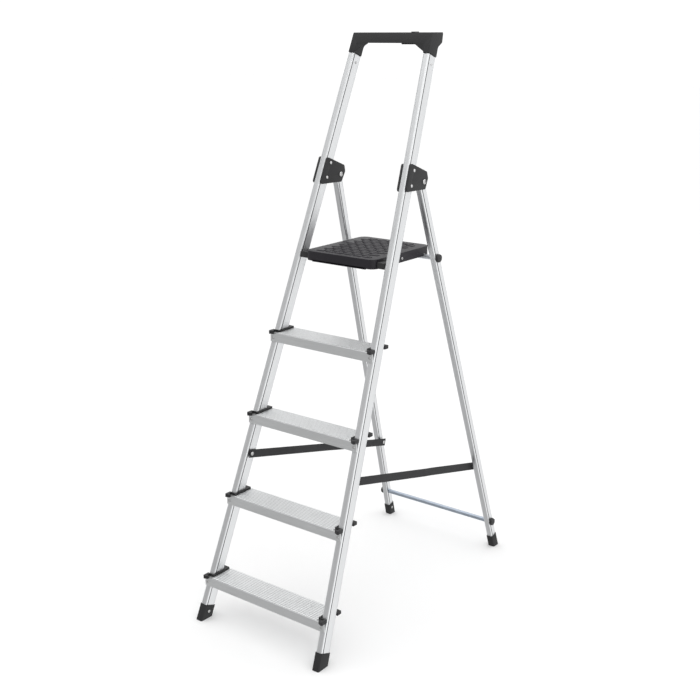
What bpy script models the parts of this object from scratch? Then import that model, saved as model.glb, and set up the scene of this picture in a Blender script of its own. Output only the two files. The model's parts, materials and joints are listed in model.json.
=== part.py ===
"""Folding aluminium step ladder: four ribbed treads, a tilting standing platform and a grab bar.

Metres, +Z up. The climber faces +Y, so the treads' front edges look towards -Y and the rear legs
stand on the +Y side. The ladder is open, and x = 0 is its plane of symmetry.

Two inclined frames carry the design. In the front frame an empty stands on the floor at the rails'
front plane: its local Z runs up the rails, its local Y points square into them. In the rear frame an
empty sits on the fold axis and its local -Z runs down the legs.
"""

import math

import bmesh
import bpy
from mathutils import Matrix, Vector

# Clearances
GAP = 0.0003
HOLE_CLEARANCE = 0.0003
OVERSHOOT = 0.004

# Front rails
FRONT_LEAN = math.radians(21.3)
RAIL_HALF_SPAN = 0.2263
RAIL_SPLAY = math.radians(3.0)
RAIL_WIDTH = 0.020
RAIL_DEPTH = 0.038
RAIL_WALL = 0.0016
RAIL_CORNER = 0.0035
RAIL_START = 0.0225

# Fold axis and rear legs
HINGE_ABOVE_PLATFORM = 0.1957
HINGE_SETBACK = 0.078
REAR_LEAN = math.radians(16.8)
LEG_SPLAY = math.radians(2.8)
LEG_WIDTH = 0.019
LEG_DEPTH = 0.025
LEG_WALL = 0.0015
LEG_CORNER = 0.003
LEG_ABOVE_AXIS = 0.013
LEG_END_HEIGHT = 0.012

# Treads
TREAD_COUNT = 4
TREAD_FIRST = 0.126
TREAD_RISE = 0.225
TREAD_NOSE = 0.0145
TREAD_DEPTH = 0.080
TREAD_SKIN = 0.0025
TREAD_FLANGE = 0.0275
TREAD_BACK_FLANGE = 0.016
TREAD_EDGE = 0.002
TREAD_RIVET_DROP = 0.0154
NOSE_INSET = 0.0083
NOSE_STRIP = 0.0095

# Tread end clips
CLIP_STRIP = 0.0040
CLIP_BELOW = 0.0035
CLIP_ABOVE = 0.006
CLIP_REACH = 0.024
CLIP_LIP = 0.0145
CLIP_TAIL = 0.0155
CLIP_LIP_REAR = 0.0045
CLIP_BEVEL = 0.003
WEDGE_INSET = 0.005

# Feet
FOOT_WALL = 0.0015
FRONT_FOOT_TOP = 0.0487
REAR_FOOT_TOP = 0.0435
FOOT_CORNER = 0.004

# Grab bar across the top of the rails
CAP_ABOVE_PLATFORM = 0.5907
CAP_BAR = 0.0285
CAP_CHEEK = 0.053
CAP_DEPTH = 0.0535
CAP_SHOULDER = 0.0275
CAP_GUSSET_REACH = 0.036
CAP_GUSSET_DROP = 0.0205
CAP_GUSSET = 0.006
CAP_TONGUE = 0.055
CAP_RIVET_DROP = 0.0225
CAP_EDGE = 0.003

# Hinge plates
PLATE_THICKNESS = 0.006
PLATE_FRONT_MARGIN = 0.0015
PLATE_REAR_MARGIN = 0.0165
PLATE_TOP = 0.0315
PLATE_BOTTOM = 0.049
PLATE_REAR_BOTTOM = 0.0165
PLATE_CORNER = 0.007
PLATE_RIVET_UP = 0.0185
PLATE_RIVET_DOWN = 0.0245

# Platform, a little higher than one more tread would be
PLATFORM_EXTRA = 0.0053
PLATFORM_SKIRT = 0.0268
PLATFORM_WALL = 0.003
PLATFORM_AHEAD = 0.033
PLATFORM_PAST_ROD = 0.030
PLATFORM_CORNER = 0.022
PLATFORM_NOTCH = 0.0083
PLATFORM_AXIS_DROP = 0.0163
PLATFORM_PIN_RADIUS = 0.004
BRACKET_HEIGHT = 0.017
BRACKET_LENGTH = 0.038
BRACKET_WIDTH = 0.02482

# Cross rods of the rear frame; the platform rests on the upper one
ROD_BELOW_PLATFORM = 0.0283
LOWER_ROD_HEIGHT = 0.0945
ROD_RADIUS = 0.007
ROD_WALL = 0.0015
PLUG_RADIUS = 0.0122
PLUG_HEAD = 0.0065
PLUG_STEM = 0.012
PLUG_STANDOFF = 0.0018

# Webbing straps, in two halves that fold where they lap
STRAP_WIDTH = 0.024
STRAP_THICKNESS = 0.0016
STRAP_STANDOFF = 0.0010
STRAP_FRONT_HEIGHT = 0.460
STRAP_FRONT_SETBACK = 0.019
STRAP_REAR_HEIGHT = 0.2984
STRAP_FOLD_SPREAD = math.radians(7.5)
STRAP_END = 0.0095
STRAP_CORNER = 0.003

# Rivets
RIVET_RADIUS = 0.0024
RIVET_HEAD = 0.0045
RIVET_DOME = 0.0018
STRAP_RIVET_HEAD = 0.0056
CAP_RIVET_HEAD = 0.0038
PIVOT_RADIUS = 0.004
PIVOT_HEAD = 0.007
RIVET_ALONG_DEPTH = 0.55

ROUND_SIDES = 12
ROD_SIDES = 20
ARC_STEPS = 4
SIDES = {"left": -1, "right": 1}

ALUMINIUM = ("aluminium", (0.80, 0.81, 0.82), 0.36, 1.0)
TREAD_METAL = ("tread_aluminium", (0.72, 0.73, 0.73), 0.42, 1.0)
RIVET_METAL = ("rivet_aluminium", (0.70, 0.70, 0.70), 0.40, 1.0)
STEEL = ("zinc_steel", (0.42, 0.47, 0.54), 0.45, 0.7)
BLACK_PLASTIC = ("black_plastic", (0.030, 0.030, 0.031), 0.50, 0.0)
HINGE_PLASTIC = ("dark_grey_plate", (0.045, 0.045, 0.047), 0.55, 0.0)
PLATFORM_PLASTIC = ("platform_plastic", (0.050, 0.048, 0.054), 0.45, 0.0)
RUBBER = ("foot_rubber", (0.028, 0.028, 0.029), 0.65, 0.0)
WEBBING = ("strap_webbing", (0.050, 0.050, 0.052), 0.85, 0.0)


# ---------------------------------------------------------------- where everything is

COS_FRONT = math.cos(FRONT_LEAN)
SIN_FRONT = math.sin(FRONT_LEAN)
TAN_FRONT = math.tan(FRONT_LEAN)
RAIL_RUN = RAIL_DEPTH / COS_FRONT
TAPER = math.tan(RAIL_SPLAY) / COS_FRONT

PLATFORM_TOP = TREAD_FIRST + TREAD_COUNT * TREAD_RISE + PLATFORM_EXTRA
PLATFORM_AXIS_HEIGHT = PLATFORM_TOP - PLATFORM_AXIS_DROP
HINGE_HEIGHT = PLATFORM_TOP + HINGE_ABOVE_PLATFORM
CAP_TOP = PLATFORM_TOP + CAP_ABOVE_PLATFORM

HINGE_RUN = HINGE_HEIGHT * TAN_FRONT + HINGE_SETBACK / COS_FRONT
FRONT_TOE = FOOT_WALL / COS_FRONT
REAR_HEEL = (LEG_DEPTH / 2 + FOOT_WALL) / math.cos(REAR_LEAN)
FOOTPRINT = FRONT_TOE + HINGE_RUN + HINGE_HEIGHT * math.tan(REAR_LEAN) + REAR_HEEL
FRONT_LINE = FRONT_TOE - FOOTPRINT / 2

HINGE = Vector((0.0, FRONT_LINE + HINGE_RUN, HINGE_HEIGHT))
HINGE_ALONG = HINGE_RUN * SIN_FRONT + HINGE_HEIGHT * COS_FRONT
LEG_LENGTH = HINGE_HEIGHT / math.cos(REAR_LEAN)
RAIL_END = (CAP_TOP - CAP_CHEEK) / COS_FRONT
CAP_UNDERSIDE = CAP_TOP - CAP_BAR

# Distances down the legs from the fold axis
UPPER_ROD_DROP = (HINGE_HEIGHT - PLATFORM_TOP + ROD_BELOW_PLATFORM) / math.cos(REAR_LEAN)
LOWER_ROD_DROP = (HINGE_HEIGHT - LOWER_ROD_HEIGHT) / math.cos(REAR_LEAN)
STRAP_REAR_DROP = (HINGE_HEIGHT - STRAP_REAR_HEIGHT) / math.cos(REAR_LEAN)

FOLD = FRONT_LEAN + REAR_LEAN
PLATFORM_FOLD = math.pi / 2 - FRONT_LEAN

# An outline drawn with this placement is a profile in world Y and Z, extruded along X.
SIDEWAYS = Matrix(((0, 0, 1, 0), (1, 0, 0, 0), (0, 1, 0, 0), (0, 0, 0, 1)))
FRONT = Matrix.Translation((0, FRONT_LINE, 0)) @ Matrix.Rotation(-FRONT_LEAN, 4, "X")
REAR = Matrix.Translation(HINGE) @ Matrix.Rotation(REAR_LEAN, 4, "X")


def front_line(z):
    """World y of the rails' front plane at height z."""
    return FRONT_LINE + z * TAN_FRONT


def rail_outer(z):
    """Half width over the rails at height z, on their front plane."""
    return RAIL_HALF_SPAN - z * TAPER


def rail_inner(z):
    return rail_outer(z) - RAIL_WIDTH / math.cos(RAIL_SPLAY)


def between_rails(z):
    """Half width that is clear between the rails up to height z, where their rear edges are nearest."""
    return rail_inner(z + RAIL_DEPTH * SIN_FRONT) - GAP


def outer_along(along):
    """Half width over the rails at a distance up them."""
    return RAIL_HALF_SPAN - along * math.tan(RAIL_SPLAY)


LEG_CENTRE_AT_HINGE = outer_along(HINGE_ALONG) - RAIL_WIDTH / 2
BRACKET_TOP = PLATFORM_AXIS_HEIGHT + BRACKET_HEIGHT / 2
PLATFORM_HALF = between_rails(BRACKET_TOP) - BRACKET_WIDTH - 2 * GAP


def leg_centre(drop):
    """Half spacing of the legs' centre lines at a distance down them from the fold axis."""
    return LEG_CENTRE_AT_HINGE + drop * math.tan(LEG_SPLAY)


def front_point(x, deep, along):
    return FRONT @ Vector((x, deep, along))


def leg_point(x, drop):
    return REAR @ Vector((x, 0, -drop))


PLATFORM_AXIS = Vector((
    0.0,
    front_line(PLATFORM_AXIS_HEIGHT) + RAIL_RUN / 2,
    PLATFORM_AXIS_HEIGHT,
))


def strap_plan():
    """Lengths and folded directions of the two strap halves, from the triangle that they fold into."""
    front = Vector((
        front_line(STRAP_FRONT_HEIGHT) + STRAP_FRONT_SETBACK / COS_FRONT,
        STRAP_FRONT_HEIGHT,
    ))
    rear_3d = leg_point(0, STRAP_REAR_DROP)
    hinge_to_rear = rear_3d - HINGE
    folded_3d = HINGE + Matrix.Rotation(-FOLD, 3, "X") @ hinge_to_rear
    rear = Vector((rear_3d.y, rear_3d.z))
    folded = Vector((folded_3d.y, folded_3d.z))
    length = (rear - front).length
    closed = (folded - front).length
    front_half = (length**2 - closed**2) / (2 * (length - closed * math.cos(STRAP_FOLD_SPREAD)))
    closed_angle = math.atan2(folded.y - front.y, folded.x - front.x)
    knee = front + front_half * Vector((
        math.cos(closed_angle + STRAP_FOLD_SPREAD),
        math.sin(closed_angle + STRAP_FOLD_SPREAD),
    ))
    return {
        "front": front,
        "rear": rear,
        "slope": math.atan2(rear.y - front.y, rear.x - front.x),
        "front_half": front_half,
        "rear_half": length - front_half,
        "front_turn": closed_angle + STRAP_FOLD_SPREAD,
        "rear_turn": math.atan2(folded.y - knee.y, folded.x - knee.x),
    }


STRAP = strap_plan()
STRAP_PLANE = min(
    between_rails(STRAP_FRONT_HEIGHT + STRAP_WIDTH),
    leg_centre(STRAP_REAR_DROP - STRAP_WIDTH) - LEG_WIDTH / 2 / math.cos(LEG_SPLAY),
) - STRAP_STANDOFF


# ---------------------------------------------------------------- helpers


def clear_scene():
    for obj in list(bpy.data.objects):
        bpy.data.objects.remove(obj, do_unlink=True)
    for name in ("step_ladder", "cutters"):
        bpy.context.scene.collection.children.link(bpy.data.collections.new(name))


def material(spec):
    name, colour, roughness, metallic = spec
    found = bpy.data.materials.get(name)
    if found:
        return found
    made = bpy.data.materials.new(name)
    made.use_nodes = True
    shader = made.node_tree.nodes["Principled BSDF"]
    shader.inputs["Base Color"].default_value = (*colour, 1.0)
    shader.inputs["Roughness"].default_value = roughness
    shader.inputs["Metallic"].default_value = metallic
    made.diffuse_color = (*colour, 1.0)
    return made


def add_part(name, mesh, spec, parent, smooth=False):
    """A sub-part from a mesh in world coordinates, parented to the empty that it moves with."""
    mesh.name = name
    mesh.transform(parent.matrix_world.inverted())
    if smooth:
        mesh.shade_smooth()
        mesh.set_sharp_from_angle(angle=math.radians(35))
    obj = bpy.data.objects.new(name, mesh)
    mesh.materials.append(material(spec))
    bpy.data.collections["step_ladder"].objects.link(obj)
    obj.parent = parent
    return obj


def add_empty(name, matrix, parent=None):
    empty = bpy.data.objects.new(name, None)
    empty.empty_display_size = 0.05
    bpy.data.collections["step_ladder"].objects.link(empty)
    empty.parent = parent
    bpy.context.view_layer.update()
    empty.matrix_world = matrix
    bpy.context.view_layer.update()
    return empty


def helper(mesh, label):
    """A hidden operand for a Boolean."""
    obj = bpy.data.objects.new(label, mesh)
    bpy.data.collections["cutters"].objects.link(obj)
    obj.hide_render = True
    obj.display_type = "WIRE"
    return obj


def boolean(obj, mesh, operation="DIFFERENCE", solver="EXACT"):
    modifier = obj.modifiers.new(operation.lower(), "BOOLEAN")
    modifier.operation = operation
    modifier.solver = solver
    modifier.object = helper(mesh, f"{obj.name}_{operation.lower()}")
    return obj


def mesh_from(bm, name="shape"):
    mesh = bpy.data.meshes.new(name)
    bm.to_mesh(mesh)
    bm.free()
    return mesh


def box(low, high, matrix=Matrix.Identity(4)):
    """A box between two corners, moved by matrix."""
    low, high = Vector(low), Vector(high)
    size = Matrix.Diagonal((*(high - low), 1))
    bm = bmesh.new()
    bmesh.ops.create_cube(bm, size=1, matrix=matrix @ Matrix.Translation((low + high) / 2) @ size)
    bmesh.ops.recalc_face_normals(bm, faces=bm.faces)
    return mesh_from(bm)


def rod(start, end, radius, sides=ROUND_SIDES):
    """A cylinder between two points."""
    start, end = Vector(start), Vector(end)
    along = end - start
    turn = along.to_track_quat("Z", "Y").to_matrix().to_4x4()
    bm = bmesh.new()
    bmesh.ops.create_cone(
        bm,
        cap_ends=True,
        segments=sides,
        radius1=radius,
        radius2=radius,
        depth=along.length,
        matrix=Matrix.Translation((start + end) / 2) @ turn,
    )
    return mesh_from(bm)


def drill(targets, start, end, radius):
    """A clearance hole through each target. Its solver copes with thin faces that a cut has left."""
    for target in targets:
        boolean(target, rod(start, end, radius + HOLE_CLEARANCE), solver="MANIFOLD")


def prism(loops, thickness, matrix):
    """Closed outlines in the matrix's XY plane, the first one outside and the others holes,
    made a slab centred on that plane."""
    curve = bpy.data.curves.new("outline", "CURVE")
    curve.dimensions = "2D"
    curve.fill_mode = "BOTH"
    curve.extrude = thickness / 2
    for loop in loops:
        spline = curve.splines.new("POLY")
        spline.points.add(len(loop) - 1)
        for point, (x, y) in zip(spline.points, loop):
            point.co = (x, y, 0, 1)
        spline.use_cyclic_u = True
    guide = bpy.data.objects.new("outline", curve)
    bpy.data.collections["cutters"].objects.link(guide)
    graph = bpy.context.evaluated_depsgraph_get()
    mesh = bpy.data.meshes.new_from_object(guide.evaluated_get(graph))
    bpy.data.objects.remove(guide, do_unlink=True)
    bpy.data.curves.remove(curve)
    bm = bmesh.new()
    bm.from_mesh(mesh)
    bmesh.ops.remove_doubles(bm, verts=bm.verts, dist=1e-6)
    bmesh.ops.transform(bm, matrix=matrix, verts=bm.verts)
    bmesh.ops.recalc_face_normals(bm, faces=bm.faces)
    bpy.data.meshes.remove(mesh)
    return mesh_from(bm)


def rounded(corners):
    """An outline from (x, y, radius) corners, each radius drawn as an arc."""
    points = []
    count = len(corners)
    for index, (x, y, radius) in enumerate(corners):
        here = Vector((x, y))
        before = (Vector(corners[index - 1][:2]) - here).normalized()
        after = (Vector(corners[(index + 1) % count][:2]) - here).normalized()
        if radius <= 0:
            points.append(tuple(here))
            continue
        half = before.angle(after) / 2
        centre = here + (before + after).normalized() * radius / math.sin(half)
        start = here + before * radius / math.tan(half) - centre
        end = here + after * radius / math.tan(half) - centre
        sweep = start.angle_signed(end)
        for step in range(ARC_STEPS + 1):
            turn = Matrix.Rotation(-sweep * step / ARC_STEPS, 2)
            points.append(tuple(centre + turn @ start))
    return points


def section(width, depth, corner, inset=0.0):
    """Rounded rectangle, centred across x, with y from 0 at its front."""
    half = width / 2 - inset
    near, far = inset, depth - inset
    corner = max(corner - inset, 0.0006)
    return rounded([
        (-half, near, corner),
        (half, near, corner),
        (half, far, corner),
        (-half, far, corner),
    ])


def turned(profile, sides=ROUND_SIDES):
    """A solid of revolution about Z, from (radius, z) points down its outer side."""
    mesh = bpy.data.meshes.new("profile")
    edges = [(i, i + 1) for i in range(len(profile) - 1)]
    mesh.from_pydata([(radius, 0, z) for radius, z in profile], edges, [])
    guide = helper(mesh, "profile")
    screw = guide.modifiers.new("turn", "SCREW")
    screw.axis = "Z"
    screw.steps = sides
    screw.render_steps = sides
    screw.use_merge_vertices = True
    screw.merge_threshold = 0.00001
    screw.use_normal_calculate = True
    graph = bpy.context.evaluated_depsgraph_get()
    made = bpy.data.meshes.new_from_object(guide.evaluated_get(graph))
    bpy.data.objects.remove(guide, do_unlink=True)
    bm = bmesh.new()
    bm.from_mesh(made)
    bmesh.ops.remove_doubles(bm, verts=bm.verts, dist=1e-6)
    bmesh.ops.recalc_face_normals(bm, faces=bm.faces)
    bpy.data.meshes.remove(made)
    return mesh_from(bm)


def rivet_profile(radius, head, dome, length):
    """A domed head above z = 0 and a shank down to -length."""
    return [
        (0, dome),
        (head * 0.62, dome * 0.8),
        (head, dome * 0.2),
        (head, 0),
        (radius, 0),
        (radius, -length),
        (0, -length),
    ]


def through_profile(radius, head, dome, length):
    """A shank of the given length with a domed head at both ends."""
    return [
        (0, dome),
        (head * 0.62, dome * 0.8),
        (head, dome * 0.2),
        (head, 0),
        (radius, 0),
        (radius, -length),
        (head, -length),
        (head, -length - dome * 0.2),
        (head * 0.62, -length - dome * 0.8),
        (0, -length - dome),
    ]


def aim(point, direction):
    """A placement whose Z looks along direction."""
    turn = Vector(direction).to_track_quat("Z", "Y").to_matrix().to_4x4()
    return Matrix.Translation(point) @ turn


def add_turned(name, profile, point, direction, spec, parent, sides=ROUND_SIDES):
    """A turned part whose axis starts at point and whose head looks along direction."""
    mesh = turned(profile, sides)
    mesh.transform(aim(point, direction))
    return add_part(name, mesh, spec, parent, smooth=True)


# ---------------------------------------------------------------- front frame


def rail_matrix(side):
    """Rail axes: local Z up the rail, local Y into it, origin on the floor at its front centre."""
    centre = side * (RAIL_HALF_SPAN - RAIL_WIDTH / 2 / math.cos(RAIL_SPLAY))
    return FRONT @ Matrix.Translation((centre, 0, 0)) @ Matrix.Rotation(-side * RAIL_SPLAY, 4, "Y")


def build_rails(parent):
    rails = {}
    for name, side in SIDES.items():
        loops = [
            section(RAIL_WIDTH, RAIL_DEPTH, RAIL_CORNER),
            section(RAIL_WIDTH, RAIL_DEPTH, RAIL_CORNER, RAIL_WALL),
        ]
        middle = Matrix.Translation((0, 0, (RAIL_START + RAIL_END) / 2))
        mesh = prism(loops, RAIL_END - RAIL_START, rail_matrix(side) @ middle)
        rails[name] = add_part(f"front_rail_{name}", mesh, ALUMINIUM, parent, smooth=True)
    return rails


def tread_height(index):
    return TREAD_FIRST + index * TREAD_RISE


def build_tread(index, parent):
    """A channel as wide as the rails, cut back so that only its nose and front flange cross them."""
    z = tread_height(index)
    front = front_line(z) - TREAD_NOSE
    back = front + TREAD_DEPTH
    low = z - TREAD_FLANGE
    skin = z - TREAD_SKIN
    channel = rounded([
        (front, low, 0),
        (front + TREAD_SKIN, low, 0),
        (front + TREAD_SKIN, skin, 0),
        (back - TREAD_SKIN, skin, 0),
        (back - TREAD_SKIN, z - TREAD_BACK_FLANGE, 0),
        (back, z - TREAD_BACK_FLANGE, 0),
        (back, z, TREAD_EDGE),
        (front, z, TREAD_EDGE),
    ])
    mesh = prism([channel], 2 * rail_outer(z), SIDEWAYS)
    tread = add_part(f"tread_{index + 1}", mesh, TREAD_METAL, parent)
    plate_half = between_rails(z + CLIP_ABOVE) - CLIP_STRIP - GAP
    nose_half = rail_outer(z) - NOSE_INSET
    wide = rail_outer(z) + 0.02
    shelf = z - CLIP_BELOW - GAP
    for side in SIDES.values():
        x_low, x_high = sorted((side * plate_half, side * wide))
        boolean(tread, box((x_low, front + NOSE_STRIP, low - 0.01), (x_high, back + 0.01, z + 0.01)))
        x_low, x_high = sorted((side * nose_half, side * wide))
        boolean(tread, box((x_low, front - 0.01, shelf), (x_high, front + NOSE_STRIP + 0.01, z + 0.01)))
    return tread


def build_clip(name, side, index, parent):
    """End clip: a strip down the rail's inner side, a hooked tail behind it, a lip over the nose,
    and a wedge that packs out the front flange from the leaning rail."""
    z = tread_height(index)
    rail_front = front_line(z)
    outer = rail_outer(z)
    inner = between_rails(z + CLIP_ABOVE)
    nose = rail_front - TREAD_NOSE - GAP
    nose_back = rail_front - TREAD_NOSE + NOSE_STRIP + GAP
    rail_face = front_line(z - CLIP_BELOW) - GAP
    rail_back = front_line(z + CLIP_ABOVE) + RAIL_RUN + 2 * GAP
    tip = rail_front - CLIP_REACH
    end = rail_back + CLIP_TAIL
    strip = inner - CLIP_STRIP
    outline = [
        (outer, tip + CLIP_BEVEL),
        (outer - CLIP_BEVEL, tip),
        (outer - CLIP_LIP, nose - CLIP_LIP_REAR),
        (outer - CLIP_LIP, nose),
        (outer - NOSE_INSET + GAP, nose),
        (outer - NOSE_INSET + GAP, nose_back),
        (strip, nose_back),
        (strip, end),
        (outer, end),
        (outer, rail_back),
        (inner, rail_back),
        (inner, rail_face),
        (outer, rail_face),
    ]
    outline = [(side * x, y) for x, y in outline]
    middle = Matrix.Translation((0, 0, z + (CLIP_ABOVE - CLIP_BELOW) / 2))
    clip = add_part(
        f"tread_clip_{name}_{index + 1}",
        prism([outline], CLIP_ABOVE + CLIP_BELOW, middle),
        BLACK_PLASTIC,
        parent,
    )
    low = z - TREAD_FLANGE + GAP
    step = z - TREAD_SKIN - GAP
    top = z - 0.001
    near = rail_front - TREAD_NOSE + TREAD_SKIN + GAP
    wedge = [
        (near, low),
        (front_line(low) - 2 * GAP, low),
        (front_line(top) - 2 * GAP, top),
        (nose_back + GAP, top),
        (nose_back + GAP, step),
        (near, step),
    ]
    centre = side * (outer - RAIL_WIDTH / 2)
    moved = Matrix.Translation((centre, 0, 0)) @ SIDEWAYS
    boolean(clip, prism([wedge], RAIL_WIDTH - 2 * WEDGE_INSET, moved), "UNION")
    return clip


def build_treads(parent, rails):
    for index in range(TREAD_COUNT):
        tread = build_tread(index, parent)
        z = tread_height(index) - TREAD_RIVET_DROP
        face = front_line(tread_height(index)) - TREAD_NOSE
        length = front_line(z) + RAIL_WALL / COS_FRONT + 0.002 - face
        for name, side in SIDES.items():
            clip = build_clip(name, side, index, parent)
            x = side * (rail_outer(z) - RAIL_WIDTH / 2)
            seat = Vector((x, face - GAP, z))
            profile = rivet_profile(RIVET_RADIUS, RIVET_HEAD, RIVET_DOME, length)
            add_turned(f"tread_rivet_{name}_{index + 1}", profile, seat, (0, -1, 0), RIVET_METAL, parent)
            inside = seat + Vector((0, length + OVERSHOOT, 0))
            outside = seat - Vector((0, OVERSHOOT, 0))
            drill((tread, clip, rails[name]), outside, inside, RIVET_RADIUS)


def build_front_feet(parent):
    for name, side in SIDES.items():
        frame = rail_matrix(side)
        half = RAIL_WIDTH / 2 + FOOT_WALL
        shell = rounded([
            (-half, -FOOT_WALL, FOOT_CORNER),
            (half, -FOOT_WALL, FOOT_CORNER),
            (half, RAIL_DEPTH + FOOT_WALL, FOOT_CORNER),
            (-half, RAIL_DEPTH + FOOT_WALL, FOOT_CORNER),
        ])
        below = -0.03
        middle = Matrix.Translation((0, 0, (FRONT_FOOT_TOP + below) / 2))
        mesh = prism([shell], FRONT_FOOT_TOP - below, frame @ middle)
        foot = add_part(f"front_foot_{name}", mesh, RUBBER, parent)
        socket = section(RAIL_WIDTH, RAIL_DEPTH, RAIL_CORNER, -GAP)
        floor = RAIL_START - GAP
        deep = FRONT_FOOT_TOP + 0.01 - floor
        middle = Matrix.Translation((0, 0, floor + deep / 2))
        boolean(foot, prism([socket], deep, frame @ middle))
        boolean(foot, box((-0.5, -1, -0.2), (0.5, 1, 0)))


def gusset(side):
    """The web in a front corner of the grab bar's opening."""
    top = CAP_UNDERSIDE / COS_FRONT
    low = top - CAP_GUSSET_DROP / COS_FRONT
    leg = rail_inner(CAP_UNDERSIDE)
    overlap = 0.005
    outline = [
        (leg + overlap, top + overlap),
        (leg - CAP_GUSSET_REACH, top + overlap),
        (leg - CAP_GUSSET_REACH, top),
        (leg, low),
        (leg + overlap, low),
    ]
    outline = [(side * x, along) for x, along in outline]
    middle = CAP_GUSSET / 2 + 0.0004
    stand = Matrix(((1, 0, 0, 0), (0, 0, 1, middle), (0, 1, 0, 0), (0, 0, 0, 1)))
    return prism([outline], CAP_GUSSET, FRONT @ stand)


def build_cap(parent, rails):
    """Grab bar: a side profile swept across, met with a front outline swept through."""
    z_front = RAIL_END * COS_FRONT
    start = RAIL_END + GAP
    front_bottom = front_point(0, 0, start)
    rear_bottom = front_point(0, RAIL_DEPTH, start)
    top_front = front_line(CAP_TOP)
    shelf = CAP_TOP - CAP_SHOULDER
    side_profile = rounded([
        (front_bottom.y, front_bottom.z, 0),
        (rear_bottom.y, rear_bottom.z, 0),
        (front_line(shelf - 0.012) + RAIL_RUN, shelf - 0.012, 0.016),
        (front_line(shelf) + CAP_DEPTH / COS_FRONT, shelf, 0.004),
        (top_front + CAP_DEPTH, CAP_TOP, CAP_EDGE),
        (top_front, CAP_TOP, CAP_EDGE),
    ])
    cap = add_part("top_cap", prism([side_profile], 0.4, SIDEWAYS), BLACK_PLASTIC, parent)
    floor = z_front - 0.05
    front_outline = rounded([
        (rail_outer(floor), floor, 0),
        (rail_outer(CAP_TOP + 0.01), CAP_TOP + 0.01, 0),
        (-rail_outer(CAP_TOP + 0.01), CAP_TOP + 0.01, 0),
        (-rail_outer(floor), floor, 0),
        (-rail_inner(floor), floor, 0),
        (-rail_inner(CAP_UNDERSIDE), CAP_UNDERSIDE, 0.005),
        (rail_inner(CAP_UNDERSIDE), CAP_UNDERSIDE, 0.005),
        (rail_inner(floor), floor, 0),
    ])
    through = Matrix(((1, 0, 0, 0), (0, 0, -1, front_bottom.y), (0, 1, 0, 0), (0, 0, 0, 1)))
    boolean(cap, prism([front_outline], 0.5, through), "INTERSECT")
    for name, side in SIDES.items():
        frame = rail_matrix(side)
        boolean(cap, gusset(side), "UNION")
        loop = section(RAIL_WIDTH, RAIL_DEPTH, RAIL_CORNER, RAIL_WALL + GAP)
        low, high = RAIL_END - CAP_TONGUE, RAIL_END + 0.008
        middle = Matrix.Translation((0, 0, (low + high) / 2))
        boolean(cap, prism([loop], high - low, frame @ middle), "UNION")
        length = RAIL_WIDTH + 2 * GAP
        outward = frame.to_3x3() @ Vector((side, 0, 0))
        deep, along = RAIL_DEPTH * RIVET_ALONG_DEPTH, RAIL_END - CAP_RIVET_DROP
        at = frame @ Vector((side * (RAIL_WIDTH / 2 + GAP), deep, along))
        profile = through_profile(RIVET_RADIUS, CAP_RIVET_HEAD, RIVET_DOME, length)
        add_turned(f"top_cap_rivet_{name}", profile, at, outward, RIVET_METAL, parent)
        through = at - outward * (length + OVERSHOOT)
        drill((cap, rails[name]), at + outward * OVERSHOOT, through, RIVET_RADIUS)


def build_hinge(parent, rails, legs):
    """Plate pairs riveted to the rails, with the leg pivots through them."""
    outline = rounded([
        (PLATE_FRONT_MARGIN, HINGE_ALONG - PLATE_BOTTOM, PLATE_CORNER),
        (HINGE_SETBACK + PLATE_REAR_MARGIN * 0.78, HINGE_ALONG - PLATE_REAR_BOTTOM, PLATE_CORNER),
        (HINGE_SETBACK + PLATE_REAR_MARGIN, HINGE_ALONG + PLATE_TOP / 2, PLATE_CORNER),
        (HINGE_SETBACK + PLATE_REAR_MARGIN * 0.35, HINGE_ALONG + PLATE_TOP, PLATE_CORNER),
        (PLATE_FRONT_MARGIN, HINGE_ALONG + PLATE_TOP, PLATE_CORNER),
    ])
    for name, side in SIDES.items():
        frame = rail_matrix(side)
        outward = frame.to_3x3() @ Vector((side, 0, 0))
        half = RAIL_WIDTH / 2 + GAP
        plates = []
        for place, sign in (("outer", 1), ("inner", -1)):
            offset = side * sign * (half + PLATE_THICKNESS / 2)
            # local X, Y of the outline are the rail's depth and length
            stand = Matrix(((0, 0, 1, offset), (1, 0, 0, 0), (0, 1, 0, 0), (0, 0, 0, 1)))
            mesh = prism([outline], PLATE_THICKNESS, frame @ stand)
            plates.append(add_part(f"hinge_plate_{name}_{place}", mesh, HINGE_PLASTIC, parent))
        length = 2 * (half + PLATE_THICKNESS + GAP)
        for place, rise in (("upper", PLATE_RIVET_UP), ("lower", -PLATE_RIVET_DOWN)):
            deep = RAIL_DEPTH * RIVET_ALONG_DEPTH
            at = frame @ Vector((side * length / 2, deep, HINGE_ALONG + rise))
            profile = through_profile(RIVET_RADIUS, RIVET_HEAD, RIVET_DOME, length)
            add_turned(f"hinge_rivet_{name}_{place}", profile, at, outward, RIVET_METAL, parent)
            through = at - outward * (length + OVERSHOOT)
            drill((*plates, rails[name]), at + outward * OVERSHOOT, through, RIVET_RADIUS)
        level = Vector((side, 0, 0))
        centre = Vector((side * LEG_CENTRE_AT_HINGE, HINGE.y, HINGE.z))
        reach = length / 2 + 0.0004
        at = centre + level * reach
        profile = through_profile(PIVOT_RADIUS, PIVOT_HEAD, RIVET_DOME, 2 * reach)
        add_turned(f"leg_pivot_pin_{name}", profile, at, level, RIVET_METAL, parent)
        through = at - level * (2 * reach + OVERSHOOT)
        drill((*plates, legs[name]), at + level * OVERSHOOT, through, PIVOT_RADIUS)


# ---------------------------------------------------------------- rear frame


def leg_matrix(side):
    """Leg axes: local Z up the leg, local Y through it, origin on the fold axis."""
    origin = Matrix.Translation((side * LEG_CENTRE_AT_HINGE, 0, 0))
    return REAR @ origin @ Matrix.Rotation(-side * LEG_SPLAY, 4, "Y")


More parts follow.
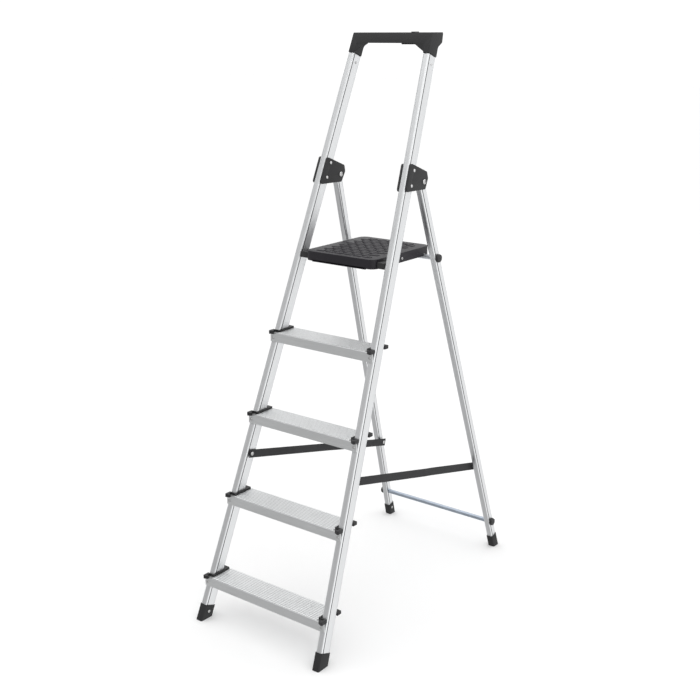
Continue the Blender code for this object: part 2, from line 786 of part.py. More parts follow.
def build_legs(parent):
    legs = {}
    bottom = -LEG_LENGTH / math.cos(LEG_SPLAY) + LEG_END_HEIGHT
    for name, side in SIDES.items():
        loops = [
            section(LEG_WIDTH, LEG_DEPTH, LEG_CORNER),
            section(LEG_WIDTH, LEG_DEPTH, LEG_CORNER, LEG_WALL),
        ]
        middle = Matrix.Translation((0, -LEG_DEPTH / 2, (LEG_ABOVE_AXIS + bottom) / 2))
        mesh = prism(loops, LEG_ABOVE_AXIS - bottom, leg_matrix(side) @ middle)
        legs[name] = add_part(f"rear_leg_{name}", mesh, ALUMINIUM, parent, smooth=True)
    return legs


def build_rear_feet(parent):
    floor = -LEG_LENGTH / math.cos(LEG_SPLAY)
    for name, side in SIDES.items():
        frame = leg_matrix(side)
        half = LEG_WIDTH / 2 + FOOT_WALL
        deep = LEG_DEPTH / 2 + FOOT_WALL
        shell = rounded([
            (-half, -deep, FOOT_CORNER),
            (half, -deep, FOOT_CORNER),
            (half, deep, FOOT_CORNER),
            (-half, deep, FOOT_CORNER),
        ])
        top, bottom = floor + REAR_FOOT_TOP, floor - 0.02
        middle = Matrix.Translation((0, 0, (top + bottom) / 2))
        foot = add_part(f"rear_foot_{name}", prism([shell], top - bottom, frame @ middle), RUBBER, parent)
        socket = section(LEG_WIDTH, LEG_DEPTH, LEG_CORNER, -GAP)
        low = floor + LEG_END_HEIGHT - GAP
        high = top + 0.01
        middle = Matrix.Translation((0, -LEG_DEPTH / 2, (low + high) / 2))
        boolean(foot, prism([socket], high - low, frame @ middle))
        boolean(foot, box((-0.5, -1, -0.2), (0.5, 1, 0)))


def build_cross_rod(label, drop, parent, legs):
    """A tube through both legs, flush with their outer faces, and a domed plug in each end."""
    outer = leg_centre(drop) + LEG_WIDTH / 2 / math.cos(LEG_SPLAY)
    centre = leg_point(0, drop)
    ends = [centre + Vector((sign * outer, 0, 0)) for sign in (-1, 1)]
    mesh = rod(*ends, ROD_RADIUS, ROD_SIDES)
    tube = add_part(f"{label}_cross_rod", mesh, STEEL, parent, smooth=True)
    past = Vector((OVERSHOOT, 0, 0))
    boolean(tube, rod(ends[0] - past, ends[1] + past, ROD_RADIUS - ROD_WALL, ROD_SIDES))
    stem = ROD_RADIUS - ROD_WALL - GAP
    for name, side in SIDES.items():
        drill((legs[name],), centre, centre + Vector((side * (outer + 0.02), 0, 0)), ROD_RADIUS)
        profile = rivet_profile(stem, PLUG_RADIUS, PLUG_HEAD, PLUG_STEM)
        seat = centre + Vector((side * (outer + PLUG_STANDOFF), 0, 0))
        add_turned(
            f"{label}_rod_plug_{name}", profile, seat, (side, 0, 0), BLACK_PLASTIC, parent, ROD_SIDES
        )


# ---------------------------------------------------------------- platform


def build_platform(parent, fixed):
    """Moulded deck with a skirt, notched where it sits on the upper rod, and its two side brackets."""
    front = PLATFORM_AXIS.y - PLATFORM_AHEAD
    rest = leg_point(0, UPPER_ROD_DROP)
    back = rest.y + PLATFORM_PAST_ROD
    low = PLATFORM_TOP - PLATFORM_SKIRT

    def outline(inset):
        half = PLATFORM_HALF - inset
        corner = PLATFORM_CORNER - inset
        return rounded([
            (-half, front + inset, corner),
            (half, front + inset, corner),
            (half, back - inset, corner),
            (-half, back - inset, corner),
        ])

    middle = Matrix.Translation((0, 0, (low + PLATFORM_TOP) / 2))
    deck = add_part("platform", prism([outline(0)], PLATFORM_SKIRT, middle), PLATFORM_PLASTIC, parent)
    depth = PLATFORM_SKIRT - PLATFORM_WALL
    middle = Matrix.Translation((0, 0, low + depth / 2 - 0.005))
    boolean(deck, prism([outline(PLATFORM_WALL)], depth + 0.01, middle))
    wide = Vector((0.3, 0, 0))
    boolean(deck, rod(rest - wide, rest + wide, PLATFORM_NOTCH, ROD_SIDES))

    for name, side in SIDES.items():
        level = Vector((side, 0, 0))
        near = PLATFORM_HALF + 2 * GAP
        far = between_rails(BRACKET_TOP)
        y_low = PLATFORM_AXIS.y - BRACKET_LENGTH / 2
        y_high = PLATFORM_AXIS.y + BRACKET_LENGTH / 2
        z_low = PLATFORM_AXIS_HEIGHT - BRACKET_HEIGHT / 2
        x_low, x_high = sorted((side * near, side * far))
        mesh = box((x_low, y_low, z_low), (x_high, y_high, BRACKET_TOP))
        block = add_part(f"platform_bracket_{name}", mesh, BLACK_PLASTIC, fixed["parent"])
        centre = Vector((0, PLATFORM_AXIS.y, PLATFORM_AXIS_HEIGHT))
        inside = PLATFORM_HALF - PLATFORM_WALL - 2 * GAP
        length = rail_inner(PLATFORM_AXIS_HEIGHT) + RAIL_WALL + 0.004 - inside
        at = centre + level * inside
        profile = rivet_profile(PLATFORM_PIN_RADIUS, PIVOT_HEAD, RIVET_DOME, length)
        add_turned(f"platform_pivot_pin_{name}", profile, at, -level, RIVET_METAL, fixed["parent"])
        through = at + level * (length + 0.002)
        drill((deck, block, fixed["rails"][name]), at - level * OVERSHOOT, through, PLATFORM_PIN_RADIUS)


# ---------------------------------------------------------------- straps


def strap_half(centre_x, start, length, start_end, finish_end):
    """A band in the vertical plane at x, from a point along the strap's slope, a little past each end."""
    slope = STRAP["slope"]
    half = STRAP_WIDTH / 2
    cos, sin = math.cos(slope), math.sin(slope)
    frame = Matrix((
        (0, 0, 1, centre_x),
        (cos, -sin, 0, start.x),
        (sin, cos, 0, start.y),
        (0, 0, 0, 1),
    ))
    outline = rounded([
        (-start_end, -half, STRAP_CORNER),
        (length + finish_end, -half, STRAP_CORNER),
        (length + finish_end, half, STRAP_CORNER),
        (-start_end, half, STRAP_CORNER),
    ])
    return prism([outline], STRAP_THICKNESS, frame)


def build_straps(root, rails):
    front, slope = STRAP["front"], STRAP["slope"]
    knee = front + STRAP["front_half"] * Vector((math.cos(slope), math.sin(slope)))
    for name, side in SIDES.items():
        outer_x = side * (STRAP_PLANE - STRAP_THICKNESS / 2)
        inner_x = side * (STRAP_PLANE - STRAP_THICKNESS * 1.5 - GAP)
        axis = Matrix.Translation((outer_x, front.x, front.y))
        front_axis = add_empty(f"strap_front_axis_{name}", axis)
        knee_axis = add_empty(f"strap_knee_axis_{name}", Matrix.Translation((inner_x, knee.x, knee.y)))
        band = strap_half(outer_x, front, STRAP["front_half"], STRAP_END, STRAP_END)
        front_band = add_part(f"strap_{name}_front", band, WEBBING, front_axis)
        band = strap_half(inner_x, knee, STRAP["rear_half"], STRAP_END, STRAP_END)
        rear_band = add_part(f"strap_{name}_rear", band, WEBBING, knee_axis)
        level = Vector((side, 0, 0))
        at = Vector((side * (STRAP_PLANE - STRAP_THICKNESS - GAP), front.x, front.y))
        length = STRAP_THICKNESS + STRAP_STANDOFF + RAIL_WALL + 0.005
        profile = rivet_profile(RIVET_RADIUS, STRAP_RIVET_HEAD, RIVET_DOME, length)
        add_turned(f"strap_front_rivet_{name}", profile, at, -level, RIVET_METAL, root)
        through = at + level * (length + OVERSHOOT)
        drill((front_band, rails[name]), at - level * OVERSHOOT, through, RIVET_RADIUS)
        rear = STRAP["rear"]
        at = Vector((side * (STRAP_PLANE - 2 * STRAP_THICKNESS - 2 * GAP), rear.x, rear.y))
        leg_face = leg_centre(STRAP_REAR_DROP) - LEG_WIDTH / 2 / math.cos(LEG_SPLAY)
        length = leg_face - 2 * GAP - (STRAP_PLANE - 2 * STRAP_THICKNESS - 2 * GAP)
        profile = rivet_profile(RIVET_RADIUS, STRAP_RIVET_HEAD, RIVET_DOME, length)
        add_turned(f"strap_rear_rivet_{name}", profile, at, -level, RIVET_METAL, knee_axis)
        through = at + level * (length + OVERSHOOT)
        drill((rear_band,), at - level * OVERSHOOT, through, RIVET_RADIUS)


# ---------------------------------------------------------------- the ladder


def build_ladder():
    clear_scene()
    front_frame = add_empty("front_frame", FRONT)
    fold_axis = add_empty("fold_axis", REAR)
    platform_axis = add_empty("platform_axis", Matrix.Translation(PLATFORM_AXIS))
    rails = build_rails(front_frame)
    legs = build_legs(fold_axis)
    build_treads(front_frame, rails)
    build_front_feet(front_frame)
    build_cap(front_frame, rails)
    build_hinge(front_frame, rails, legs)
    build_rear_feet(fold_axis)
    build_cross_rod("upper", UPPER_ROD_DROP, fold_axis, legs)
    build_cross_rod("lower", LOWER_ROD_DROP, fold_axis, legs)
    build_platform(platform_axis, {"parent": front_frame, "rails": rails})
    build_straps(front_frame, rails)


build_ladder()
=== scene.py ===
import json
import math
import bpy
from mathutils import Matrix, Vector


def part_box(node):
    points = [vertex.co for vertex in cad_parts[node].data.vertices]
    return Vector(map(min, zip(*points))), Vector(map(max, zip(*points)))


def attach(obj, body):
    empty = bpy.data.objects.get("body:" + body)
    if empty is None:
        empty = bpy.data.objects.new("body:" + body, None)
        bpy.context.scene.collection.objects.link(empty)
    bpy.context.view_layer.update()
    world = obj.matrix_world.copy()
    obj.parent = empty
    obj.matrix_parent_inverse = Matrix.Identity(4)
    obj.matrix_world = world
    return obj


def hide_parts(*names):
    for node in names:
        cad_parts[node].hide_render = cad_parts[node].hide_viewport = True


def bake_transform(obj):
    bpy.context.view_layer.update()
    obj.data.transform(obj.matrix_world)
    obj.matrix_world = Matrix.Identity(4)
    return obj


bl_info = {
    "name": "Step Ladder Looks",
    "version": (1, 0, 0),
    "blender": (4, 5, 0),
    "location": "3D View > Sidebar > Step Ladder",
    "description": "Models and finishes the visible parts of a folding aluminium step ladder",
    "category": "Object",
}

import bmesh
import bpy
from bpy.props import FloatProperty, FloatVectorProperty, IntProperty, PointerProperty
from mathutils import Matrix, Vector

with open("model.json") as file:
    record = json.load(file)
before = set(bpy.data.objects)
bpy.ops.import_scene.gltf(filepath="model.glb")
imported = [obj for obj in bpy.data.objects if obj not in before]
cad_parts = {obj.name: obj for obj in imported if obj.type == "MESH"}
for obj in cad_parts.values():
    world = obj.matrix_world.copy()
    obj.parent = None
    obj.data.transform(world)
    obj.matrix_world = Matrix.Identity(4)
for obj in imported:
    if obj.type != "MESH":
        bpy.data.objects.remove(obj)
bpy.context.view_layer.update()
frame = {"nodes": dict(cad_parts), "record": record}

SIDES = {"left": -1, "right": 1}
JOINTS = {joint["name"]: joint for joint in frame["record"]["behaviour"]["joints"]}
TREADS = sum(name.startswith("tread_") and name.count("_") == 1 for name in frame["nodes"])

# Height within which the end points of a slanting rail or leg lie
RAIL_ENDS = 0.016
LEG_ENDS = 0.0085

# Edge radii of the softened CAD pieces
TREAD_EDGE = 0.0005
CLIP_EDGE = 0.0011
CAP_EDGE = 0.0016
PLATE_EDGE = 0.0012
BRACKET_EDGE = 0.0009
DECK_EDGE = 0.0022
FOOT_EDGE = 0.0014

# Treads: depth of metal that counts as the top, spacing of the cross cuts, margins of the ribs
TREAD_SKIN = 0.002
CUT_SPACING = 0.0070
RIB_SIDE_MARGIN = 0.0050
RIB_END_MARGIN = 0.0012
RIB_SHARE = 0.76

# Hanging hook in the grab bar
GRAB_BAR_THICKNESS = 0.0285
HOOK_BACK = 0.006
HOOK_TOP = (0.064, 0.075)
HOOK_UNDER = (0.034, 0.072)

# Platform: grip pads, moulded walls, and the ribs beneath
PAD_RISE = 0.0013
PAD_MARGIN = 0.0125
PAD_PITCH = (1.30, 1.38)
DECK_WALL = 0.003
LIP_INSET = 0.028
RIB_THICKNESS = 0.0018
RIB_COUNT = 5
LONG_RIB_START = -0.08
LONG_RIB_PITCH = 0.0396
CROSS_RIB_START = 0.042
CROSS_RIB_PITCH = 0.047
STUD_BACK = 0.134
STUD_DROP = 0.0159

# Fasteners: head radii and the height of their domes
RIVET_HEAD = 0.0045
CAP_RIVET_HEAD = 0.0038
STRAP_RIVET_HEAD = 0.0056
PIN_HEAD = 0.0070
STUD_HEAD = 0.0036
FOOT_RIVET_HEAD = 0.0042
RIVET_DOME = 0.0018
STUD_DOME = 0.0013
FOOT_RIVET_DOME = 0.0014
SHANK_SHARE = 0.53

# Feet: height of the rivet over the floor, and the plastic between rail and head
FRONT_FOOT_RIVET = 0.021
REAR_FOOT_RIVET = 0.0257
FOOT_WALL = 0.0015

# Plugs in the cross rods' ends
PLUG_SEAT = 0.0065
PLUG_STEM = 0.011

# Webbing straps
STRAP_END = 0.0095
STRAP_HALF_THICKNESS = 0.0008
STRAP_CUTS = 150
STRAP_HEM = (0.0017, 0.0035)
STRAP_SHIFT_RUN = 0.04
WEAVE_SPACING = 0.0024


# ---------------------------------------------------------------- reading the frame


def points_of(node):
    """The distinct points of a CAD node's mesh."""
    mesh = frame["nodes"][node].data
    return [Vector(point) for point in {tuple(round(c, 6) for c in v.co) for v in mesh.vertices}]


def corners(node):
    low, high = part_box(node)
    return Vector(low), Vector(high)


def line_of(node, spread):
    """Placement and length of a long straight part: Z runs up it, X is level, and both its ends'
    points lie within spread of its lowest and highest ones."""
    points = points_of(node)
    low = min(point.z for point in points)
    high = max(point.z for point in points)
    feet = [point for point in points if point.z < low + spread]
    heads = [point for point in points if point.z > high - spread]
    start = sum(feet, Vector()) / len(feet)
    end = sum(heads, Vector()) / len(heads)
    up = (end - start).normalized()
    deep = up.cross(Vector((1, 0, 0))).normalized()
    across = deep.cross(up)
    turn = Matrix((across, deep, up)).transposed().to_4x4()
    return Matrix.Translation(start) @ turn, (end - start).length


def shank_of(node, direction):
    """The head's tip and the far end of a fastener that points roughly along direction."""
    points = points_of(node)
    reach = [point.dot(direction) for point in points]
    heads = [p for p, r in zip(points, reach) if r > max(reach) - 0.0003]
    tails = [p for p, r in zip(points, reach) if r < min(reach) + 0.0003]
    return sum(heads, Vector()) / len(heads), sum(tails, Vector()) / len(tails)


def body_of(node):
    """The body that a CAD node moves with."""
    for body, nodes in frame["record"]["behaviour"]["bodies"].items():
        if node in nodes:
            return body
    raise ValueError(node)


# ---------------------------------------------------------------- modelling


def only(obj):
    """Leaves one object selected and active, in object mode."""
    if bpy.context.mode != "OBJECT":
        bpy.ops.object.mode_set(mode="OBJECT")
    bpy.ops.object.select_all(action="DESELECT")
    obj.select_set(True)
    bpy.context.view_layer.objects.active = obj


def open_mesh(obj):
    only(obj)
    bpy.ops.object.mode_set(mode="EDIT")


def close_mesh():
    bpy.ops.object.mode_set(mode="OBJECT")


def select(obj, kind, test):
    """In edit mode, selects the verts, edges or faces that pass a test."""
    bpy.ops.mesh.select_mode(type={"verts": "VERT", "edges": "EDGE", "faces": "FACE"}[kind])
    bpy.ops.mesh.select_all(action="DESELECT")
    mesh = bmesh.from_edit_mesh(obj.data)
    for part in getattr(mesh, kind):
        if test(part):
            part.select_set(True)
    bmesh.update_edit_mesh(obj.data)


def along(edge, axis):
    """Whether an edge runs along a coordinate axis."""
    run = edge.verts[1].co - edge.verts[0].co
    return abs(run[axis]) > 0.99 * run.length


def place(obj, matrix):
    """Moves a piece and applies the move to its mesh."""
    obj.matrix_world = matrix
    only(obj)
    bpy.ops.object.transform_apply(location=True, rotation=True, scale=True)
    return obj


def named(obj, name):
    obj.name = name
    obj.data.name = name
    return obj


def block(name, low, high):
    """A box between two corners, to be shaped further."""
    low, high = Vector(low), Vector(high)
    bpy.ops.object.select_all(action="DESELECT")
    bpy.ops.mesh.primitive_cube_add(size=1, location=(low + high) / 2, scale=high - low)
    obj = named(bpy.context.active_object, name)
    return place(obj, obj.matrix_world.copy())


def drum(name, radius, low, high, sides=32):
    """A cylinder on the Z axis, to be shaped further."""
    bpy.ops.object.select_all(action="DESELECT")
    bpy.ops.mesh.primitive_cylinder_add(
        vertices=sides, radius=radius, depth=high - low, location=(0, 0, (low + high) / 2)
    )
    obj = named(bpy.context.active_object, name)
    return place(obj, obj.matrix_world.copy())


def modify(obj, kind, **settings):
    only(obj)
    modifier = obj.modifiers.new(kind.lower(), kind)
    for name, value in settings.items():
        setattr(modifier, name, value)
    bpy.ops.object.modifier_apply(modifier=modifier.name)
    return obj


def repeat(obj, count, step):
    """A row of copies, one step apart."""
    modify(
        obj, "ARRAY", count=count, use_relative_offset=False,
        use_constant_offset=True, constant_offset_displace=step,
    )


def smooth(obj, angle=35):
    only(obj)
    bpy.ops.object.shade_smooth_by_angle(angle=math.radians(angle))
    return obj


def softened(node, name, width, segments=3, angle=30):
    """A copy of a CAD node with its flat faces whole and its edges rounded."""
    source = frame["nodes"][node]
    obj = source.copy()
    obj.data = source.data.copy()
    obj.parent = None
    obj.matrix_world = Matrix.Identity(4)
    bpy.context.scene.collection.objects.link(obj)
    named(obj, name)
    obj.data.materials.clear()
    only(obj)
    bpy.ops.mesh.customdata_custom_splitnormals_clear()
    open_mesh(obj)
    bpy.ops.mesh.select_all(action="SELECT")
    bpy.ops.mesh.remove_doubles(threshold=0.00001)
    bpy.ops.mesh.dissolve_limited(angle_limit=math.radians(1))
    close_mesh()
    modify(
        obj, "BEVEL", width=width, segments=segments, limit_method="ANGLE",
        angle_limit=math.radians(angle), use_clamp_overlap=True,
    )
    return smooth(obj, 40)


def copied(obj, name, matrix):
    """A copy with a mesh of its own, moved by matrix."""
    twin = obj.copy()
    twin.data = obj.data.copy()
    bpy.context.scene.collection.objects.link(twin)
    return place(named(twin, name), matrix)


def joined(name, pieces):
    """Several meshes made one piece."""
    only(pieces[0])
    for piece in pieces[1:]:
        piece.select_set(True)
    bpy.ops.object.join()
    return named(bpy.context.view_layer.objects.active, name)


def discard(obj):
    bpy.data.objects.remove(obj, do_unlink=True)


def finish_piece(obj, body, material, slot, *nodes):
    """Gives a piece its finish and the body that it moves with, and hides the CAD nodes that it stands
    for.
    """
    obj.data.materials.clear()
    obj.data.materials.append(material)
    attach(obj, body)
    if nodes:
        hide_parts(*nodes)
    return obj


# ---------------------------------------------------------------- shader building


class Wire:
    """One socket of a shader, usable in Python arithmetic."""

    def __init__(self, shader, socket):
        self.shader = shader
        self.socket = socket

    def math(self, operation, *others):
        values = dict(enumerate((self, *others)))
        return self.shader.node("ShaderNodeMath", {"operation": operation}, values)

    def __add__(self, other):
        return self.math("ADD", other)

    def __radd__(self, other):
        return self.math("ADD", other)

    def __mul__(self, other):
        return self.math("MULTIPLY", other)

    def __rmul__(self, other):
        return self.math("MULTIPLY", other)

    def __sub__(self, other):
        return self.math("SUBTRACT", other)

    def __rsub__(self, other):
        return self.shader.node("ShaderNodeMath", {"operation": "SUBTRACT"}, {0: other, 1: self})

    def __truediv__(self, other):
        return self.math("DIVIDE", other)

    def __pow__(self, other):
        return self.math("POWER", other)

    def __abs__(self):
        return self.math("ABSOLUTE")


class Shader:
    """A node tree with short ways to add its nodes."""

    def __init__(self, tree):
        self.tree = tree

    def feed(self, socket, value):
        if isinstance(value, Wire):
            self.tree.links.new(value.socket, socket)
        else:
            socket.default_value = value

    def node(self, kind, settings, sockets, output=0):
        """A node of one kind: its settings first, then the values or links of its sockets."""
        made = self.tree.nodes.new(kind)
        for name, value in settings.items():
            setattr(made, name, value)
        for name, value in sockets.items():
            self.feed(made.inputs[name], value)
        return Wire(self, made.outputs[output])

    def object_place(self):
        return self.node("ShaderNodeTexCoord", {}, {}, "Object")

    def local(self, placement):
        """Object coordinates measured in a part's own frame."""
        shift, turn, _ = placement.decompose()
        sockets = {"Vector": self.object_place(), "Location": shift, "Rotation": turn.to_euler()}
        return self.node("ShaderNodeMapping", {"vector_type": "TEXTURE"}, sockets)

    def stretched(self, vector, factors):
        return self.node("ShaderNodeVectorMath", {"operation": "MULTIPLY"}, {0: vector, 1: factors})

    def parts(self, vector):
        split = self.node("ShaderNodeSeparateXYZ", {}, {0: vector})
        return [Wire(self, socket) for socket in split.socket.node.outputs]

    def noise(self, vector, scale, detail=2.0, rough=0.5):
        sockets = {"Vector": vector, "Scale": scale, "Detail": detail, "Roughness": rough}
        return self.node("ShaderNodeTexNoise", {}, sockets)

    def ramp(self, value, low, high):
        """0 below low, 1 above high."""
        return self.node("ShaderNodeMapRange", {}, {"Value": value, "From Min": low, "From Max": high})

    def blend(self, factor, first, second):
        first, second = (tone if isinstance(tone, Wire) else (*tone, 1) for tone in (first, second))
        sockets = {0: factor, 6: first, 7: second}
        return self.node("ShaderNodeMix", {"data_type": "RGBA"}, sockets, 2)

    def bump(self, height, strength, distance):
        sockets = {"Height": height, "Strength": strength, "Distance": distance}
        return self.node("ShaderNodeBump", {}, sockets)


def shade(colour, factor):
    return tuple(min(1.0, channel * factor) for channel in colour)


def new_finish(name):
    """An empty material's shader."""
    material = bpy.data.materials.new(name)
    material.use_nodes = True
    return material, Shader(material.node_tree)


def set_surface(shader, **values):
    """Feeds the surface shader: Base_Color stands for Base Color, and so on."""
    surface = shader.tree.nodes["Principled BSDF"]
    for name, value in values.items():
        shader.feed(surface.inputs[name.replace("_", " ")], value)


def drawn_aluminium(name, colour, placement, half, deep, groove_at, groove):
    """Extruded aluminium: fine lines along its length, dull patches, corners rubbed brighter and painted
    shade darkening the grooves."""
    material, shader = new_finish(name)
    local = shader.local(placement)
    x, y, _ = shader.parts(local)
    lines = shader.noise(shader.stretched(local, (1, 1, 0.003)), 1500, 3)
    bands = shader.noise(shader.stretched(local, (1, 1, 0.02)), 260, 2)
    patches = shader.noise(shader.stretched(local, (1, 1, 0.25)), 34, 4, 0.6)
    scuffs = shader.ramp(shader.noise(shader.stretched(local, (1, 1, 0.3)), 420, 3, 0.7), 0.62, 0.74)
    corner = (abs(x) / half) ** 8 * (abs(y) / (deep / 2)) ** 8
    rubbed = corner * shader.ramp(patches, 0.3, 0.7)
    tone = lines * 0.35 + bands * 0.4 + patches * 0.25
    # Painted shade: a dark band down the groove on each side stands in for the shadow there; the same mask
    # also makes the groove rougher.
    beside = abs(y + (deep / 2 - groove_at - groove / 2))
    inside = 1 - shader.ramp(beside, groove * 0.5, groove * 0.56)
    groove_shade_mask = inside * (0.80 + patches * 0.2)
    metal = shader.blend(tone + rubbed * 0.5, shade(colour, 0.88), shade(colour, 1.08))
    set_surface(
        shader,
        Base_Color=shader.blend(groove_shade_mask, metal, shade(colour, 0.26)),
        Metallic=1.0,
        Roughness=0.30 + patches * 0.14 + lines * 0.08 + scuffs * 0.10 - rubbed * 0.10 + groove_shade_mask * 0.2,
        Normal=shader.bump(lines * 0.7 + bands * 0.6 - scuffs * 0.2, 0.16, 0.0004),
    )
    return material


def tread_aluminium(name, colour, pitch, top, rise, rib):
    """Ribbed tread metal: lines along its width, fine cross cuts, painted shade darkening the gaps between
    the ribs and the cuts, and grip worn smoother in the middle. The treads lie one rise apart, the lowest
    with its top at top."""
    material, shader = new_finish(name)
    spot = shader.object_place()
    x, _, z = shader.parts(spot)
    height = (z - top).math("WRAP", rise / 2, -rise / 2) + TREAD_SKIN
    on_top = shader.ramp(height, TREAD_SKIN * 0.5, TREAD_SKIN * 0.9)
    valley = on_top * (1 - shader.ramp(height, TREAD_SKIN + rib * 0.2, TREAD_SKIN + rib * 0.9))
    lines = shader.noise(shader.stretched(spot, (0.004, 1, 1)), 1500, 3)
    patches = shader.noise(shader.stretched(spot, (0.4, 1, 1)), 40, 4, 0.6)
    cuts = (x * (2 * math.pi / pitch)).math("SINE")
    notch = on_top * shader.ramp(cuts * 0.5 + 0.5, 0.86, 0.98)
    tread_wear = shader.ramp(1 - abs(x) / 0.14, 0.2, 0.8) * shader.ramp(patches, 0.35, 0.7)
    tone = lines * 0.5 + patches * 0.5
    metal = shader.blend(tone, shade(colour, 0.92), shade(colour, 1.08))
    # Painted shade: the gaps between the ribs and the cross cuts are darkened in the base colour, standing
    # in for the shadow in them.
    rib_gap_shade = valley * (0.62 + patches * 0.2) + notch * 0.22
    set_surface(
        shader,
        Base_Color=shader.blend(rib_gap_shade, metal, shade(colour, 0.30)),
        Metallic=1.0,
        Roughness=0.38 + patches * 0.12 + lines * 0.06 + notch * 0.12 - tread_wear * 0.08,
        Normal=shader.bump(lines * 0.5 - notch * 1.2, 0.22, 0.0005),
    )
    return material


def turned_metal(name, colour, roughness):
    """Small pressed fasteners: faint grain and tarnish in patches."""
    material, shader = new_finish(name)
    spot = shader.object_place()
    grain = shader.noise(spot, 2600, 2)
    tarnish = shader.ramp(shader.noise(spot, 420, 3, 0.6), 0.40, 0.75)
    set_surface(
        shader,
        Base_Color=shader.blend(tarnish, shade(colour, 1.05), shade(colour, 0.72)),
        Metallic=1.0,
        Roughness=roughness + tarnish * 0.14 + grain * 0.06,
        Normal=shader.bump(grain, 0.10, 0.0002),
    )
    return material


def plated_steel(name, colour):
    """Blue-grey plated tube: cloudy plating with lines along it and dull spots."""
    material, shader = new_finish(name)
    spot = shader.object_place()
    lines = shader.noise(shader.stretched(spot, (0.01, 1, 1)), 1300, 2)
    cloud = shader.noise(shader.stretched(spot, (0.5, 1, 1)), 70, 4, 0.6)
    specks = shader.ramp(shader.noise(spot, 900, 2), 0.66, 0.76)
    set_surface(
        shader,
        Base_Color=shader.blend(cloud + specks * 0.3, shade(colour, 0.78), shade(colour, 1.18)),
        Metallic=0.85,
        Roughness=0.36 + cloud * 0.14 + specks * 0.15,
        Normal=shader.bump(lines * 0.6 + specks * 0.4, 0.12, 0.0003),
    )
    return material


def moulded_plastic(name, colour, roughness, grain_size, relief, wear=0.25, gloss=0.35):
    """Moulded plastic: spark-eroded grain, slow shade changes and light rubbed specks."""
    material, shader = new_finish(name)
    spot = shader.object_place()
    grain = shader.noise(spot, 1 / grain_size, 3, 0.6)
    slow = shader.noise(spot, 26, 3)
    rubbed = shader.ramp(shader.noise(shader.stretched(spot, (0.5, 1, 1)), 330, 4, 0.7), 0.60, 0.80)
    tone = slow * 0.55 + grain * 0.25 + rubbed * wear
    set_surface(
        shader,
        Base_Color=shader.blend(tone, shade(colour, 0.72), shade(colour, 1.55)),
        Metallic=0.0,
        Specular_IOR_Level=gloss,
        Roughness=roughness + grain * 0.10 - rubbed * 0.10 + slow * 0.06,
        Normal=shader.bump(grain + slow * 0.3, relief, 0.0004),
    )
    return material


def woven_webbing(name, colour, slope, spacing):
    """Strap webbing: a twill of ribs along the strap and picks across it, with a fuzzy matt sheen."""
    material, shader = new_finish(name)
    placement = Matrix.Rotation(slope, 4, "X")
    local = shader.local(placement)
    _, u, v = shader.parts(local)
    turn = 2 * math.pi / spacing
    ribs = (v * turn).math("SINE") * 0.5 + 0.5
    picks = ((u * 0.8 + v * 0.8) * turn).math("SINE") * 0.5 + 0.5
    fuzz = shader.noise(local, 1900, 3, 0.7)
    dust = shader.noise(local, 60, 3)
    weave = ribs * picks
    tone = weave * 0.5 + fuzz * 0.3 + dust * 0.2
    set_surface(
        shader,
        Base_Color=shader.blend(tone, shade(colour, 0.45), shade(colour, 1.7)),
        Metallic=0.0,
        Roughness=0.82 + fuzz * 0.12,
        Normal=shader.bump(weave + fuzz * 0.35, 0.55, 0.0006),
    )
    return material


# ---------------------------------------------------------------- settings


class LadderSizes(bpy.types.PropertyGroup):
    """Sizes of the details that the frame leaves open."""

    rail_corner: FloatProperty(
        name="Rail corner", description="Radius of the rails' long corners", default=0.0048,
        min=0.001, max=0.008, subtype="DISTANCE", unit="LENGTH",
    )
    rail_wall: FloatProperty(
        name="Rail wall", description="Wall thickness of rails and legs", default=0.0015,
        min=0.0008, max=0.003, subtype="DISTANCE", unit="LENGTH",
    )
    groove_width: FloatProperty(
        name="Groove width", description="Width of the groove down each side of a rail", default=0.0028,
        min=0.0005, max=0.004, subtype="DISTANCE", unit="LENGTH",
    )
    groove_depth: FloatProperty(
        name="Groove depth", description="Depth of the groove down each side of a rail", default=0.0022,
        min=0.0002, max=0.003, subtype="DISTANCE", unit="LENGTH",
    )
    rail_width: FloatProperty(
        name="Rail width", description="Width of a front rail across the ladder", default=0.020,
        min=0.015, max=0.03, subtype="DISTANCE", unit="LENGTH",
    )
    rail_depth: FloatProperty(
        name="Rail depth", description="Depth of a front rail, front to back", default=0.038,
        min=0.025, max=0.06, subtype="DISTANCE", unit="LENGTH",
    )
    leg_width: FloatProperty(
        name="Leg width", description="Width of a rear leg across the ladder", default=0.019,
        min=0.015, max=0.03, subtype="DISTANCE", unit="LENGTH",
    )
    leg_depth: FloatProperty(
        name="Leg depth", description="Depth of a rear leg, front to back", default=0.025,
        min=0.015, max=0.05, subtype="DISTANCE", unit="LENGTH",
    )
    rib_count: IntProperty(
        name="Tread ribs", description="Ribs along the top of each tread", default=11, min=3, max=24,
    )
    rib_height: FloatProperty(
        name="Rib height", description="Height of the ribs on the treads", default=0.0006,
        min=0.0003, max=0.003, subtype="DISTANCE", unit="LENGTH",
    )
    pad_length: FloatProperty(
        name="Pad length", description="Length of a grip pad on the platform", default=0.0250,
        min=0.008, max=0.05, subtype="DISTANCE", unit="LENGTH",
    )
    pad_width: FloatProperty(
        name="Pad width", description="Width of a grip pad on the platform", default=0.0125,
        min=0.005, max=0.03, subtype="DISTANCE", unit="LENGTH",
    )
    strap_width: FloatProperty(
        name="Strap width", description="Width of the webbing straps", default=0.024,
        min=0.015, max=0.05, subtype="DISTANCE", unit="LENGTH",
    )


